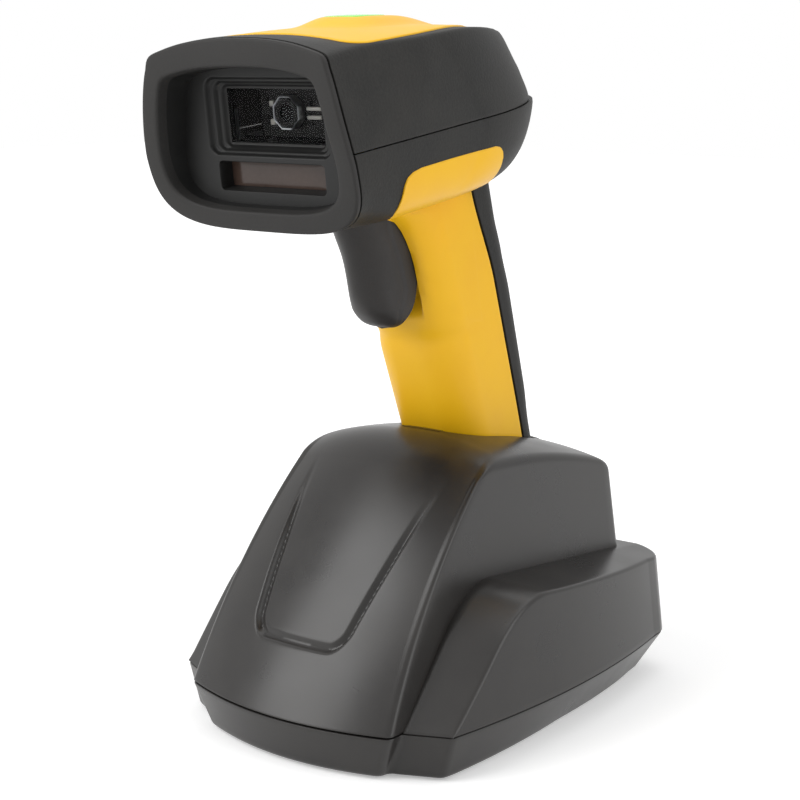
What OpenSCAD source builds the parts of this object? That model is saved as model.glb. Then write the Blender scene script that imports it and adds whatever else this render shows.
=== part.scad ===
// Handheld barcode scanner standing in its charging cradle.
//
// Three frames are used. The construction frame has x = 0 on the symmetry plane, y = 0 at
// the foot corners of the cradle's tongue with +Y to the back, and z = 0 on the table.
// in_head() is pitched with the scanner's head: its y runs to the rear and its z is the
// height over the head's parting line. in_grip() leans with the handle: its z runs up the
// handle from the foot. stand() moves the finished pieces so that the origin lies
// under the middle of the whole.

/* [Cradle outline] */
// Height of the parting line between tray and upper shell
tray_h = 14.6; // [13:0.2:17]
// Height of the tray's underside over the table
foot_drop = 0.8; // [0.6:0.1:1.5]
// Half width of the block at its widest, on the parting line
block_half_w = 57; // [55:0.5:60]
// Y of the block's widest place
block_wide_y = 70; // [66:1:74]
// Radius of the block's bowed side walls in plan
block_side_r = 310; // [280:10:360]
// Y of the block's back wall at the parting line
block_back_y = 137.5; // [136:0.5:142]
// Draft of the block's side and back walls, degrees
block_draft = 5; // [3:0.5:6]
// Plan radius of the block's rear corners
block_corner_r = 13; // [10:0.5:16]
// Y of the wing face where it meets the tongue
wing_front_y = 5.6; // [4:0.2:8]
// How far the wing faces sweep back on their way out, degrees
wing_sweep = 25; // [20:1:28]
// Steepness of the wing faces, degrees
wing_slope = 47; // [45:0.5:50]
// Height of the block's top beside the tower, at the front
block_top_z = 50; // [48:0.5:52]
// Fall of the block's top towards the back, degrees
block_fall = 5.5; // [4:0.5:7]
// Fall of the block's top towards the side, degrees
block_tip = 7; // [5:0.5:8]
// Radius between wing face and block top
wing_fillet_r = 10; // [7:0.5:12]
// Tuck of the tray's underside under the block's side walls
tray_side_tuck = 8; // [6:0.5:9]
// Tuck of the tray's underside under the block's back wall
tray_back_tuck = 5; // [3:0.5:6]
// Tuck of the tray's underside at the tongue's sides
tray_tongue_tuck = 5.6; // [4:0.2:6.4]
// Tuck of the tray's underside at the tongue's foot
tray_toe_tuck = 2.4; // [1.8:0.2:3]

/* [Tower] */
// Half width of the tongue at the parting line
tongue_half_w = 38.4; // [37:0.2:40]
// Draft of the tower's side walls, degrees
tower_draft = 3.8; // [3:0.2:4.6]
// Steepness of the tongue at its foot, degrees
tongue_foot_slope = 64.7; // [63:0.5:67]
// Radius of the tongue's convex slope in side view
tongue_r = 192; // [185:1:200]
// Forward bulge of the tongue at its foot
tongue_bulge = 7.9; // [6:0.2:9]
// Height of the tower's side edges at the crest
crest_z = 82; // [80:0.5:84]
// Y of the crest
crest_y = 52; // [50:0.5:56]
// Radius of the tower's top in side view
tower_top_r = 225; // [200:5:260]
// Height of the crown over the side edges
crown_bulge = 5.6; // [4.8:0.2:6.6]
// Y of the tower's back wall at the block's top
tower_back_y = 125; // [123.5:0.5:126.5]
// Bow of the tower's back wall in plan
tower_back_bulge = 2; // [1:0.2:2.6]
// Draft of the tower's back wall, degrees
tower_back_draft = 8; // [6:0.5:10]
// Radius between the tower's top and its back
tower_back_r = 7; // [5:0.5:9]
// Depth of the tapered panel sunk into the tongue, at its lower end
panel_depth = 2; // [1.5:0.1:2.3]
// Height of the panel's lower edge
panel_low_z = 33; // [31:0.5:36]
// Height at which the panel fades out
panel_high_z = 79; // [77:0.5:80]
// Half width of the panel at its lower end
panel_half_w = 19.5; // [17:0.5:21]
// Radius of the panel's lower corners
panel_corner_r = 9; // [7:0.5:10]

/* [Walls] */
// Wall of the cradle's mouldings
cradle_wall = 2.4; // [2:0.1:3]
// Wall of the scanner's mouldings
shell_wall = 2; // [1.8:0.1:2.3]
// Seam left open between two mouldings
seam = 0.35; // [0.25:0.05:0.5]
// Gap between pieces that lie close and must not touch
near_gap = 0.3; // [0.2:0.05:0.4]

/* [Head] */
// Y of the front end of the head's parting line
head_y = -13; // [-15:0.5:-11]
// Height of the front end of the head's parting line
head_z = 176; // [174:0.5:178]
// Nose-down pitch of the head, degrees
head_pitch = 7; // [6:0.2:8]
// Half width of the head at the nose
head_half_w = 36.8; // [36:0.2:38]
// Half width of the head where the rear corners begin
head_rear_half_w = 34; // [33:0.5:35]
// Height of the crown over the parting line
head_up = 29.4; // [28.6:0.2:30.6]
// Distance behind the nose seam from which the crown falls away
crown_start_s = 8; // [4:1:14]
// Radius of the crown in side view
crown_r = 520; // [460:10:600]
// Depth of the head below the parting line
head_down = 23; // [22.4:0.2:24]
// Length of the head behind the nose seam
head_len = 117; // [114:0.5:119]
// Squareness of the head's upper section behind the nose
head_square_up = 6; // [5:0.2:7]
// Squareness of the upper section at the nose
nose_square_up = 3.8; // [3.4:0.1:4.4]
// Squareness of the head's lower section
head_square_down = 3.2; // [2.8:0.1:3.8]

/* [Top cover] */
// Thickness of the top cover at its edge
cover_t = 1.1; // [0.8:0.1:1.4]
// Height of the cover's low mound over the head's crown
mound_t = 2.4; // [1.8:0.1:2.8]
// Half width of the cover in front
cover_half_w = 28.5; // [26:0.5:30]
// Half width of the cover where its tail begins to round
cover_tail_half_w = 18; // [14:0.5:20]
// Distance of the cover's front edge behind the nose seam
cover_front_s = 12; // [10:0.5:14]
// Length of the cover
cover_len = 74; // [70:0.5:78]
// Distance behind the nose seam at which the cover starts to narrow
cover_taper_s = 26; // [22:1:34]
// Radius of the cover's corners
cover_r = 6; // [4:0.5:8]
// Width of the indicator lens
lens_w = 18; // [14:0.5:20]
// Length of the indicator lens
lens_len = 26; // [22:0.5:30]
// Distance of the lens behind the nose seam
lens_front_s = 31; // [28:0.5:36]
// Corner radius of the lens
lens_r = 6; // [4:0.5:7]

/* [Nose] */
// Depth of the bezel along the head
bezel_depth = 1.9; // [1.6:0.1:3]
// Width of the bezel's face
bezel_face = 6.2; // [5.6:0.1:7]
// Radius of the bezel's bowed face in side view
nose_bow_r = 116; // [100:2:160]
// Height of the bow's foremost place over the parting line
nose_bow_h = 16; // [12:1:18]
// Distance of the window's face behind the nose seam
window_s = 11; // [10.5:0.1:12]
// Width of the scan window
window_w = 40; // [38:0.5:42]
// Height of the scan window
window_h = 18; // [16:0.5:19]
// Height of the window's middle over the parting line
window_mid_h = 7.5; // [7:0.1:8]
// Thickness of the windows
window_t = 1.5; // [1.2:0.1:2]
// Width of the trim strip below the window
strip_w = 40; // [38:0.5:42]
// Height of the trim strip
strip_h = 7; // [6:0.5:7.5]
// Height of the strip's middle over the parting line
strip_mid_h = -10.6; // [-11:0.1:-10]

/* [Grip] */
// Lean of the handle from upright, degrees
grip_lean = 19; // [17.5:0.5:20]
// Y of the handle's foot
grip_y = 103.1; // [102:0.5:104]
// Height of the handle's foot
grip_z = 40; // [39:0.5:42]
// Half width of the handle at its foot
grip_half_w = 15.2; // [14.6:0.2:15.6]
// Half depth of the handle at its foot
grip_half_d = 17; // [16.6:0.2:17.4]
// Growth of the half width for each mm up the handle
grip_grow_w = 0.012; // [0.006:0.001:0.016]
// Growth of the half depth for each mm up the handle
grip_grow_d = 0.0316; // [0.026:0.001:0.034]
// Corner radius at the handle's front
grip_front_r = 11; // [9:0.5:12]
// Corner radius at the handle's back
grip_back_r = 8; // [6:0.5:9]
// Depth of the back cover, from the handle's rearmost line to its seam
back_cover_d = 11; // [9:0.5:12]
// Height of the foot cap
foot_cap_h = 7; // [6:0.5:9]
// Height of the handle's mouldings, up into the head
grip_len = 142; // [138:1:146]

/* [Trigger] */
// Width of the trigger
trigger_w = 18; // [17:0.2:19]
// Side clearance of the trigger in its slot
trigger_side_gap = 0.5; // [0.4:0.1:0.8]
// Y of the trigger pin
trigger_pin_y = 44; // [43:0.5:45]
// Height of the trigger pin
trigger_pin_z = 163; // [162:0.5:164]
// Radius of the trigger pin
trigger_pin_r = 1.5; // [1.3:0.1:1.6]
// Radial running clearance on the pin
pin_fit = 0.05; // [0.03:0.01:0.08]
// Radius of the trigger's hub
trigger_hub_r = 3.6; // [3.4:0.1:4]
// Pull of the trigger, degrees
trigger_pull = 6; // [5:0.5:6.5]
// Height of the switch up the handle
switch_w = 100; // [98:0.5:102]
// Depth of the switch in front of its board
switch_d = 5.5; // [5:0.1:5.8]
// Radius of the switch's plunger
plunger_r = 1.5; // [1.2:0.1:1.8]
// Width of the trigger's board
trigger_board_w = 20; // [18:0.5:21]
// Length of the trigger's board up the handle
trigger_board_len = 30; // [28:0.5:32]
// Mean radius of the return spring's coil
coil_r = 2.4; // [2:0.1:2.6]
// Radius of the spring's wire
wire_r = 0.3; // [0.2:0.05:0.35]
// Turns of the spring
coil_turns = 6; // [5:1:7]

/* [Electronics] */
// Radius of the battery cell
cell_r = 9.1; // [8.9:0.1:9.3]
// Length of the battery cell
cell_len = 65; // [63:0.5:66]
// Thickness of the circuit boards
board_t = 1.6; // [1.2:0.1:2]
// Width of the scan engine
engine_w = 23; // [21:0.5:24]
// Height of the scan engine
engine_h = 14; // [13:0.5:15]
// Depth of the scan engine
engine_d = 16; // [14:0.5:17]
// Radius of the engine's lens barrel
barrel_r = 4; // [3.6:0.1:4.4]
// Height of the engine's middle behind the window, over the parting line
engine_mid_h = 7.5; // [7:0.1:8]
// Width of the main board
board_w = 56; // [52:1:58]
// Length of the main board along the head
board_len = 42; // [38:1:44]
// Distance of the main board's middle behind the nose seam
board_s = 62; // [60:0.5:64]
// Radius of the buzzer
buzzer_r = 5.5; // [5:0.1:6]
// Radius of the housing screws
screw_r = 1.25; // [1:0.05:1.4]
// Radius of the screw posts in the head
head_post_r = 3.4; // [3:0.1:3.6]
// Radius of the cradle's screws
tray_screw_r = 1.5; // [1.3:0.1:1.7]
// Length of the cradle's screws
tray_screw_len = 14; // [12:0.5:16]
// Depth of the tray's web that the screws clamp
tray_screw_web = 4; // [3.5:0.1:4.5]
// Length of the head's housing screws
head_screw_len = 14; // [12:0.5:16]

/* [Dock] */
// Clearance between the handle and the docking cup
cup_gap = 0.8; // [0.6:0.1:1]
// Wall of the docking cup
cup_wall = 2; // [1.8:0.1:2.2]
// Pitch of the charge pins
pin_pitch = 4; // [3.6:0.2:4.4]
// Number of charge pins
pin_count = 4; // [2:1:4]
// Radius of a charge pin
charge_pin_r = 0.75; // [0.6:0.05:0.9]
// Travel of a charge pin
pin_travel = 1.2; // [0.8:0.1:1.4]
// Thickness of the docking cup's floor
cup_floor = 2.4; // [2:0.1:2.8]
// Radius of the screw posts in the cradle
post_r = 4.2; // [3.8:0.1:4.6]
// Half distance of the screw posts from side to side
post_x = 43; // [42:0.2:43.6]
// Width of the ballast plate
ballast_w = 56; // [50:1:58]
// Depth of the ballast plate
ballast_d = 62; // [56:1:64]
// Thickness of the ballast plate
ballast_t = 4; // [3:0.2:4.6]
// Width of the cradle's board
cradle_board_w = 52; // [50:0.5:56]
// Depth of the cradle's board
cradle_board_d = 30; // [28:0.5:31]
// Depth of the cable socket
socket_d = 16; // [14:0.5:18]
// Wall of the cable socket
socket_rim = 2; // [1.4:0.1:2.2]
// Width of the cable socket's mouth
socket_w = 11.8; // [11.6:0.1:12]
// Height of the cable socket's mouth
socket_h = 7.2; // [6.8:0.1:7.6]
// Radius of a rubber foot
foot_r = 6; // [5:0.5:7]
// Depth of a foot's pocket in the tray
foot_sink = 1.4; // [1:0.1:1.6]

/* [Hidden] */

// Distance along the head of the nose seam at one height: the seam is bowed like the face
function nose_s(h) = (pow(h - nose_bow_h, 2) - pow(nose_bow_h, 2)) / (2 * nose_bow_r);

// --- Frames ---------------------------------------------------------------------------

// Half of the overall depth: the nose overhangs the tongue, the block ends the back
nose_y = head_y + (nose_s(head_up) - bezel_depth) * cos(head_pitch) - head_up * sin(head_pitch);
mid_y = (nose_y + block_back_y) / 2;

module stand() {
    translate([0, -mid_y, 0]) children();
}

module in_head() {
    translate([0, head_y, head_z]) rotate([head_pitch, 0, 0]) children();
}

module in_grip() {
    translate([0, grip_y, grip_z]) rotate([grip_lean, 0, 0]) children();
}

// --- Small shapes ---------------------------------------------------------------------

// Points on an arc, from one angle to another
function arc(cx, cy, r, a0, a1, n) =
    [for (i = [0:n]) let (a = a0 + (a1 - a0) * i / n) [cx + r * cos(a), cy + r * sin(a)]];

// Rectangle with one corner radius, as points
function round_rect(w, h, r, n = 6) = concat(
    arc(w / 2 - r, h / 2 - r, r, 0, 90, n), arc(-w / 2 + r, h / 2 - r, r, 90, 180, n),
    arc(-w / 2 + r, -h / 2 + r, r, 180, 270, n), arc(w / 2 - r, -h / 2 + r, r, 270, 360, n));

// Superellipse with its own height and squareness above and below, as points
function squircle(w, up, down, p_up, p_down, n = 60) =
    [for (i = [0:n - 1])
        let (a = 360 * i / n, c = cos(a), s = sin(a), p = s < 0 ? p_down : p_up)
        [w * sign(c) * pow(abs(c), 2 / p), (s < 0 ? down : up) * sign(s) * pow(abs(s), 2 / p)]];

// Convex body through points
module body_through(points) {
    hull() polyhedron(points = points, faces = [[for (i = [0:len(points) - 1]) i]]);
}

// Cylinder that runs along X, centred
module rod_x(r, length) {
    rotate([0, 90, 0]) cylinder(h = length, r = r, center = true, $fn = 48);
}

// Rounded plate that lies in XY and rises from z = 0
module plate(w, d, h, r = 1) {
    linear_extrude(h) polygon(round_rect(w, d, r));
}

// Solid through rings that all have as many points
module loft(rings) {
    n = len(rings[0]);
    last = (len(rings) - 1) * n;
    polyhedron(points = [for (ring = rings) each ring], faces = concat(
        [[for (k = [0:n - 1]) k]],
        [for (i = [0:len(rings) - 2], k = [0:n - 1])
            let (a = i * n + k, b = i * n + (k + 1) % n)
            each [[b, a, a + n], [b, a + n, b + n]]],
        [[for (k = [0:n - 1]) last + n - 1 - k]]));
}

// Side view outline (y, z) made into a solid that is centred on x = 0
module side_prism(points, width) {
    rotate([90, 0, 90]) translate([0, 0, -width / 2]) linear_extrude(width) polygon(points);
}

// --- Cradle ---------------------------------------------------------------------------

tongue_c = [tongue_r * sin(tongue_foot_slope), tray_h - tongue_r * cos(tongue_foot_slope)];
tower_top_c = [crest_y, crest_z - tower_top_r];
steps = 8;

// Y of the tongue's slope and of the tower's back wall, height of the tower's side edge
function tongue_y(z, t) = tongue_c.x - sqrt(pow(tongue_r - t, 2) - pow(z - tongue_c.y, 2));
function tower_rear_y(z, t) =
    tower_back_y - (z - block_top_z) * tan(tower_back_draft) - t / cos(tower_back_draft);
function tower_edge_z(y, t) =
    tower_top_c.y + sqrt(pow(tower_top_r - t, 2) - pow(y - tower_top_c.x, 2));
function tower_w(z, t) =
    tongue_half_w - (z - tray_h) * tan(tower_draft) - t / cos(tower_draft);

// Side view of the tower, t inside its skin: rows of y, z, normal y, normal z, bulge.
// It runs up the tongue, over the crest, along the top and down the back.
slope_end_z = crest_z - 5;
top_start_y = crest_y + 8;
top_end_y = tower_rear_y(crest_z - 10, 0) - tower_back_r;
function tower_profile(t, low_z, front_t) = concat(
    [for (i = [0:steps])
        let (z = low_z + (slope_end_z - low_z) * i / steps,
             a = asin((z - tongue_c.y) / tongue_r), f = i / steps)
        [tongue_y(z, front_t), z, f - 1 - f * cos(a), f * sin(a), tongue_bulge * (1 - 0.25 * f)]],
    [for (i = [0:steps])
        let (y = top_start_y + (top_end_y - top_start_y) * i / steps,
             a = asin((y - tower_top_c.x) / tower_top_r))
        [y, tower_edge_z(y, t), sin(a), cos(a), crown_bulge * (1 - 0.35 * i / steps)]],
    [for (i = [1:3])
        let (a = 80 - 20 * i, r = tower_back_r)
        [top_end_y + (r - t) * cos(a), tower_edge_z(top_end_y, 0) - r + (r - t) * sin(a),
         cos(a), sin(a), crown_bulge * 0.65 * (4 - i) / 4]],
    [for (z = [tower_edge_z(top_end_y, 0) - tower_back_r, low_z])
        [tower_rear_y(z, t), z, 1, 0, tower_back_bulge]]);

// Every profile row is drawn out to the side walls and bulged along its normal
function tower_points(t = 0, low_z = tray_h, n = 6, front_t = 0) =
    [for (p = tower_profile(t, low_z, t + front_t), j = [-n:n])
        let (u = j / n, b = p[4] * (1 - pow(abs(u), p[3] > 0.8 ? 2.4 : 2)))
        [u * tower_w(p[1], t), p[0] + p[2] * b, p[1] + p[3] * b]];

// The block: plan half width, height of its top, and y at the foot of its wing face
function block_w(y, z, t) =
    block_half_w - pow(y - block_wide_y, 2) / (2 * block_side_r)
    - (z - tray_h) * tan(block_draft) - t;
function wing_reach(x) = max(0, abs(x) - tongue_half_w);
function block_z(x, y, t) =
    block_top_z - max(0, y - tongue_half_w) * tan(block_fall) - wing_reach(x) * tan(block_tip) - t;
function wing_foot_y(x, t) =
    wing_front_y + wing_reach(x) * tan(wing_sweep) + t / sin(wing_slope);

// Side view of the wing at one x, t inside: up the face, then round the fillet
wing_flat = wing_fillet_r * tan((wing_slope + block_fall) / 2);
function wing_profile(x, t, low_z) =
    let (k = tan(wing_slope), foot = wing_foot_y(x, t),
         y = (block_z(x, 0, t) + tongue_half_w * tan(block_fall) - tray_h + foot * k)
             / (k + tan(block_fall)),
         z = tray_h + (y - foot) * k,
         p = [y - wing_flat * cos(wing_slope), z - wing_flat * sin(wing_slope)],
         q = [y + wing_flat * cos(block_fall), z - wing_flat * sin(block_fall)])
    concat([[foot + (low_z - tray_h) / k, low_z]],
           [for (i = [0:4])
               let (a = i / 4) (1 - a) * (1 - a) * p + 2 * a * (1 - a) * [y, z] + a * a * q]);

// The same at the drafted and bowed outer wall: x settles in two rounds
function wing_edge(t, low_z) =
    [for (i = [0:5])
        let (a = wing_profile(block_half_w - 5, t, low_z)[i],
             b = wing_profile(block_w(a.x, a.y, t), t, low_z)[i])
        [block_w(b.x, b.y, t), b.x, b.y]];

// Plan edge of the block's right side at height z: along the bowed wall, then the corner
function block_edge(z, t) =
    let (back = block_back_y - (z - tray_h) * tan(block_draft) - t,
         r = block_corner_r - t, cy = back - r,
         cx = block_w(cy, z, t) - r)
    concat([for (i = [0:6]) let (y = crest_y + (cy - crest_y) * i / 6) [block_w(y, z, t), y]],
           arc(cx, cy, r, 15, 90, 5));

// The block's top edge runs a little under its top plane
edge_drop = 0.8;
function block_points(t = 0, low_z = tray_h) =
    [for (s = [-1, 1]) each concat(
        [for (p = wing_profile(tongue_half_w, t, low_z)) [s * tongue_half_w, p.x, p.y]],
        [for (p = wing_edge(t, low_z)) [s * p.x, p.y, p.z]],
        [for (e = block_edge(low_z, t)) [s * e.x, e.y, low_z]],
        [for (e = block_edge(block_z(block_half_w, block_back_y, t), t))
            let (z = block_z(e.x, e.y, t))
            each [[s * e.x, e.y, z - edge_drop], [s * (e.x - edge_drop), e.y - edge_drop, z]]])];

// The panel sunk into the tongue: a tapered U in the front view
module panel_prism() {
    r = panel_corner_r;
    top_half_w = panel_half_w - 5;
    translate([0, crest_y, 0]) rotate([90, 0, 0]) linear_extrude(crest_y + 20)
        polygon(concat([[top_half_w, panel_high_z], [-top_half_w, panel_high_z]],
            arc(-panel_half_w + r, panel_low_z + r, r, 180, 270, 6),
            arc(panel_half_w - r, panel_low_z + r, r, 270, 360, 6)));
}

// Tower with its sunk panel: the panel is cut down to a slightly tilted copy of the skin
module tower() {
    slope_len = norm([panel_high_z - panel_low_z,
                      tongue_y(panel_high_z, 0) - tongue_y(panel_low_z, 0)]);
    sink = atan(panel_depth / slope_len);
    difference() {
        body_through(tower_points());
        difference() {
            panel_prism();
            translate([0, crest_y, panel_high_z]) rotate([sink, 0, 0])
                translate([0, -crest_y, -panel_high_z]) body_through(tower_points());
        }
    }
}

// Screw posts of the cradle: x, y
posts = [for (y = [47, 98], side = [-1, 1]) [side * post_x, y]];

module at_posts(z) {
    for (p = posts) translate([p.x, p.y, z]) children();
}

// The cable socket stands in the back wall
socket_z = tray_h + 1.6;
socket_back_y = block_back_y - 2.2;

module socket_box(grow) {
    w = socket_w + 2 * socket_rim + 2 * grow;
    translate([-w / 2, socket_back_y - socket_d - grow, socket_z - grow])
        cube([w, socket_d + 2 * grow, socket_h + 2 * socket_rim + 2 * grow]);
}

module cradle_upper_shell() {
    inner_z = tray_h - 1;
    color("#454343") stand() difference() {
        union() {
            difference() {
                union() {
                    tower();
                    body_through(block_points());
                }
                body_through(tower_points(cradle_wall, inner_z, 6, panel_depth));
                body_through(block_points(cradle_wall, inner_z));
            }
            for (p = posts) translate([p.x, p.y, tray_h])
                cylinder(h = block_z(p.x, p.y, cradle_wall / 2) - tray_h, r = post_r, $fn = 32);
        }
        in_grip() handle_prism(cup_gap, 25, 100);
        at_posts(tray_h - 1) cylinder(h = tray_screw_len, r = tray_screw_r + pin_fit, $fn = 32);
        socket_box(near_gap);
        translate([0, 10, 0]) socket_box(near_gap);
    }
}

// --- Tray -----------------------------------------------------------------------------

// The tray narrows from the parting line down to its underside
function tray_tongue(t) =
    let (top_w = tongue_half_w - t, low_w = top_w - tray_tongue_tuck)
    [for (j = [-8:8]) each let (u = j / 8, bow = 1 - u * u)
        [[u * top_w, t - tongue_bulge * bow, tray_h],
         [u * low_w, tray_toe_tuck + t - (tongue_bulge - 1.5) * bow, foot_drop]]];
function tray_tongue_back(t) =
    [for (side = [-1, 1], z = [foot_drop, tray_h]) [side * (tongue_half_w - 6 - t), 60, z]];

// The tuck grows from the wing's corner to the block's widest place, and again at the back
function tray_low_edge(e) =
    let (side_share = min(1, (e.y + 40) / (block_wide_y + 40)),
         back_share = max(0, e.y - 110) / (block_back_y - 110))
    [e.x - tray_side_tuck * side_share, e.y - tray_back_tuck * back_share];
function tray_block(t) =
    let (front = wing_front_y + t, low_front = front + 0.6,
         wing_w = block_w(12, tray_h, t), reach = (wing_w - tongue_half_w) * tan(wing_sweep))
    [for (side = [-1, 1]) each concat(
        [for (e = block_edge(tray_h, t)) [side * e.x, e.y, tray_h]],
        [for (e = block_edge(tray_h, t))
            let (low = tray_low_edge(e)) [side * low.x, low.y, foot_drop]],
        [[side * tongue_half_w, front, tray_h],
         [side * wing_w, front + reach, tray_h],
         [side * (tongue_half_w - 4), low_front, foot_drop],
         [side * (wing_w - 4 - t), low_front + reach, foot_drop]])];

function raise(points, dz) = [for (p = points) [p.x, p.y, p.z + dz]];

foot_places = [for (p = [[26, 13], [34, 118]], s = [-1, 1]) [s * p.x, p.y]];

// Ribs that carry the docking cup, up to the slanted underside of its floor
cup_low = near_gap + cup_floor;
rib_x = 13;
module cup_ribs() {
    rise = tan(grip_lean);
    low = foot_drop + cradle_wall - 0.1;
    base = grip_z - (cup_low + pin_fit) / cos(grip_lean);
    for (s = [-1, 1]) translate([s * rib_x, 0, 0])
        side_prism([[grip_y - 14, low], [grip_y, low], [grip_y, base],
                    [grip_y - 14, base - 14 * rise]], 2);
}

module cradle_tray() {
    color("#454343") stand() difference() {
        union() {
            difference() {
                union() {
                    body_through(concat(tray_tongue(0), tray_tongue_back(0)));
                    body_through(tray_block(0));
                }
                body_through(raise(concat(tray_tongue(cradle_wall), tray_tongue_back(cradle_wall)),
                                   cradle_wall));
                body_through(raise(tray_block(cradle_wall), cradle_wall));
            }
            at_posts(foot_drop + 1) cylinder(h = tray_h - foot_drop - 1, r = post_r, $fn = 32);
            cup_ribs();
            board_posts();
            ballast_posts();
        }
        at_posts(-1) cylinder(h = tray_h + 2, r = tray_screw_r + 0.2, $fn = 32);
        at_posts(-1) cylinder(h = tray_h - tray_screw_web + 1, r = 3.1, $fn = 32);
        for (p = foot_places) translate([p.x, p.y, -1])
            cylinder(h = 1 + foot_drop + foot_sink, r = foot_r + pin_fit, $fn = 48);
    }
}

module tray_screws() {
    head_z0 = tray_h - tray_screw_web;
    color("#8a8d90") stand() at_posts(0) {
        translate([0, 0, head_z0 - 2]) cylinder(h = 2, r = 2.8, $fn = 32);
        translate([0, 0, head_z0 - 0.2]) cylinder(h = tray_screw_len, r = tray_screw_r, $fn = 32);
    }
}

module rubber_feet() {
    color("#2b2b2b") stand() for (p = foot_places) translate([p.x, p.y, 0])
        cylinder(h = foot_drop + foot_sink - pin_fit, r = foot_r, $fn = 48);
}

// --- Inside the cradle ----------------------------------------------------------------

cradle_board_z = socket_z - board_t;
cradle_board_y = socket_back_y - 1.5 - cradle_board_d / 2;
cradle_board_posts = [for (side = [-1, 1], end = [-1, 1])
    [side * (cradle_board_w / 2 - 4), cradle_board_y + end * (cradle_board_d / 2 - 5)]];

module board_posts() {
    for (p = cradle_board_posts) translate([p.x, p.y, foot_drop + 1])
        cylinder(h = cradle_board_z - foot_drop - 1, r = 2.4, $fn = 32);
}

module cradle_board() {
    color("#1f5a3a") stand() translate([0, cradle_board_y, cradle_board_z])
        plate(cradle_board_w, cradle_board_d, board_t);
}

module cable_socket() {
    mouth_d = socket_d - 3;
    color("#1c1c1e") stand() difference() {
        socket_box(0);
        translate([-socket_w / 2, socket_back_y - mouth_d, socket_z + socket_rim])
            cube([socket_w, mouth_d + 1, socket_h]);
    }
}

// Steel plate that keeps the cradle down
ballast_y = 46;
ballast_rise = 4;
module ballast_posts() {
    for (side = [-1, 1], end = [-1, 1])
        translate([side * 20, ballast_y + end * 22, foot_drop + 1])
        cylinder(h = ballast_rise, r = 4, $fn = 32);
}

module ballast_plate() {
    color("#8d9196") stand() translate([0, ballast_y, foot_drop + 1 + ballast_rise])
        plate(ballast_w, ballast_d, ballast_t, 3);
}

// --- Dock -----------------------------------------------------------------------------

function handle_w(w) = grip_half_w + grip_grow_w * w;
function handle_d(w) = grip_half_d + grip_grow_d * w;
function handle_outline(w, grow) =
    let (hw = handle_w(w) + grow, hd = handle_d(w) + grow,
         rf = grip_front_r + grow, rb = grip_back_r + grow)
    concat(arc(hw - rb, hd - rb, rb, 0, 90, 8), arc(-hw + rb, hd - rb, rb, 90, 180, 8),
           arc(-hw + rf, -hd + rf, rf, 180, 270, 8), arc(hw - rf, -hd + rf, rf, 270, 360, 8));

// The handle's outside from one height to another, grown by a clearance or a wall
module handle_prism(grow, from, to) {
    translate([0, 0, from])
        linear_extrude(to - from, slices = 1, scale = [(handle_w(to) + grow) / (handle_w(from) + grow),
                                           (handle_d(to) + grow) / (handle_d(from) + grow)])
        polygon(handle_outline(from, grow));
}

block_len = pin_pitch * (pin_count - 1) + 5;
block_deep = 6;
// The cup ends this share of the crown's bulge over the tower's side edges
cup_top_share = 0.4;
pin_stand = pin_travel + 0.3;
pocket_d = pin_stand - near_gap + 0.1;

module docking_cup() {
    color("#3b3a3b") stand() intersection() {
        in_grip() difference() {
            handle_prism(cup_gap + cup_wall, -cup_low, 60);
            handle_prism(cup_gap, -near_gap, 61);
            translate([-block_len / 2 - 0.1, -block_deep / 2 - 0.1, -cup_low - 1])
                cube([block_len + 0.2, block_deep + 0.2, cup_floor + 2]);
        }
        side_prism(concat([[30, -10]],
            [for (y = [30:6:tower_back_y])
                [y, tower_edge_z(y, cradle_wall + near_gap) + cup_top_share * crown_bulge]],
            [[tower_back_y, -10]]), 60);
    }
}

module at_pins() {
    for (i = [0:pin_count - 1]) translate([(i - (pin_count - 1) / 2) * pin_pitch, 0, 0]) children();
}

// The block's flange lies under the cup's floor and its nose fills the window in it
module contact_block() {
    color("#1c1c1e") stand() in_grip() difference() {
        union() {
            translate([-block_len / 2, -block_deep / 2, -cup_low - 0.1])
                cube([block_len, block_deep, cup_floor + 0.1]);
            translate([-block_len / 2 - 2, -block_deep / 2 - 2, -cup_low - 6])
                cube([block_len + 4, block_deep + 4, 6 - pin_fit]);
        }
        at_pins() translate([0, 0, -cup_low - 5]) cylinder(h = 12, r = charge_pin_r + pin_fit, $fn = 24);
    }
}

module charge_pins() {
    color("#d9b45a") stand() in_grip() at_pins() {
        tip = -near_gap + pin_stand - charge_pin_r;
        foot = -cup_low - 5 + pin_travel + 0.2;
        translate([0, 0, foot]) cylinder(h = tip - foot, r = charge_pin_r, $fn = 24);
        translate([0, 0, tip]) sphere(r = charge_pin_r, $fn = 24);
    }
}

// --- Head -----------------------------------------------------------------------------

tail_r = head_down - 1.6;
tail_len = 55;
tail_round_h = 12;
tail_lean = 0.68;
head_taper_s = 62;
nose_blend_s = 18;

// Half width of the head's section at height h, and how far back it reaches there
function head_w(s, h, t) =
    let (w = head_half_w + (head_rear_half_w - head_half_w) * min(1, max(0, s) / head_taper_s),
         f = min(1, max(0, s) / nose_blend_s),
         lim = h < 0 ? head_down : head_up,
         p = h < 0 ? head_square_down : nose_square_up + (head_square_up - nose_square_up) * f)
    (w - t) * pow(max(0, 1 - pow(abs(h) / (lim - t + 0.001), p)), 1 / p);
function head_end(h, t) =
    let (c = head_len - tail_r, r = tail_r - t)
    h > tail_round_h ? head_end(tail_round_h, t) - (h - tail_round_h) * tail_lean
    : c + sqrt(max(0, r * r - pow(h + 2, 2)));

// Heights of the rows, close together near the crown and the belly
function head_rows(t) = concat(
    [for (i = [0:6]) -(head_down - t) * sin(90 - 15 * i)],
    [for (i = [1:7]) (head_up - t) * pow(sin(90 * i / 7), 0.7)]);

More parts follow.
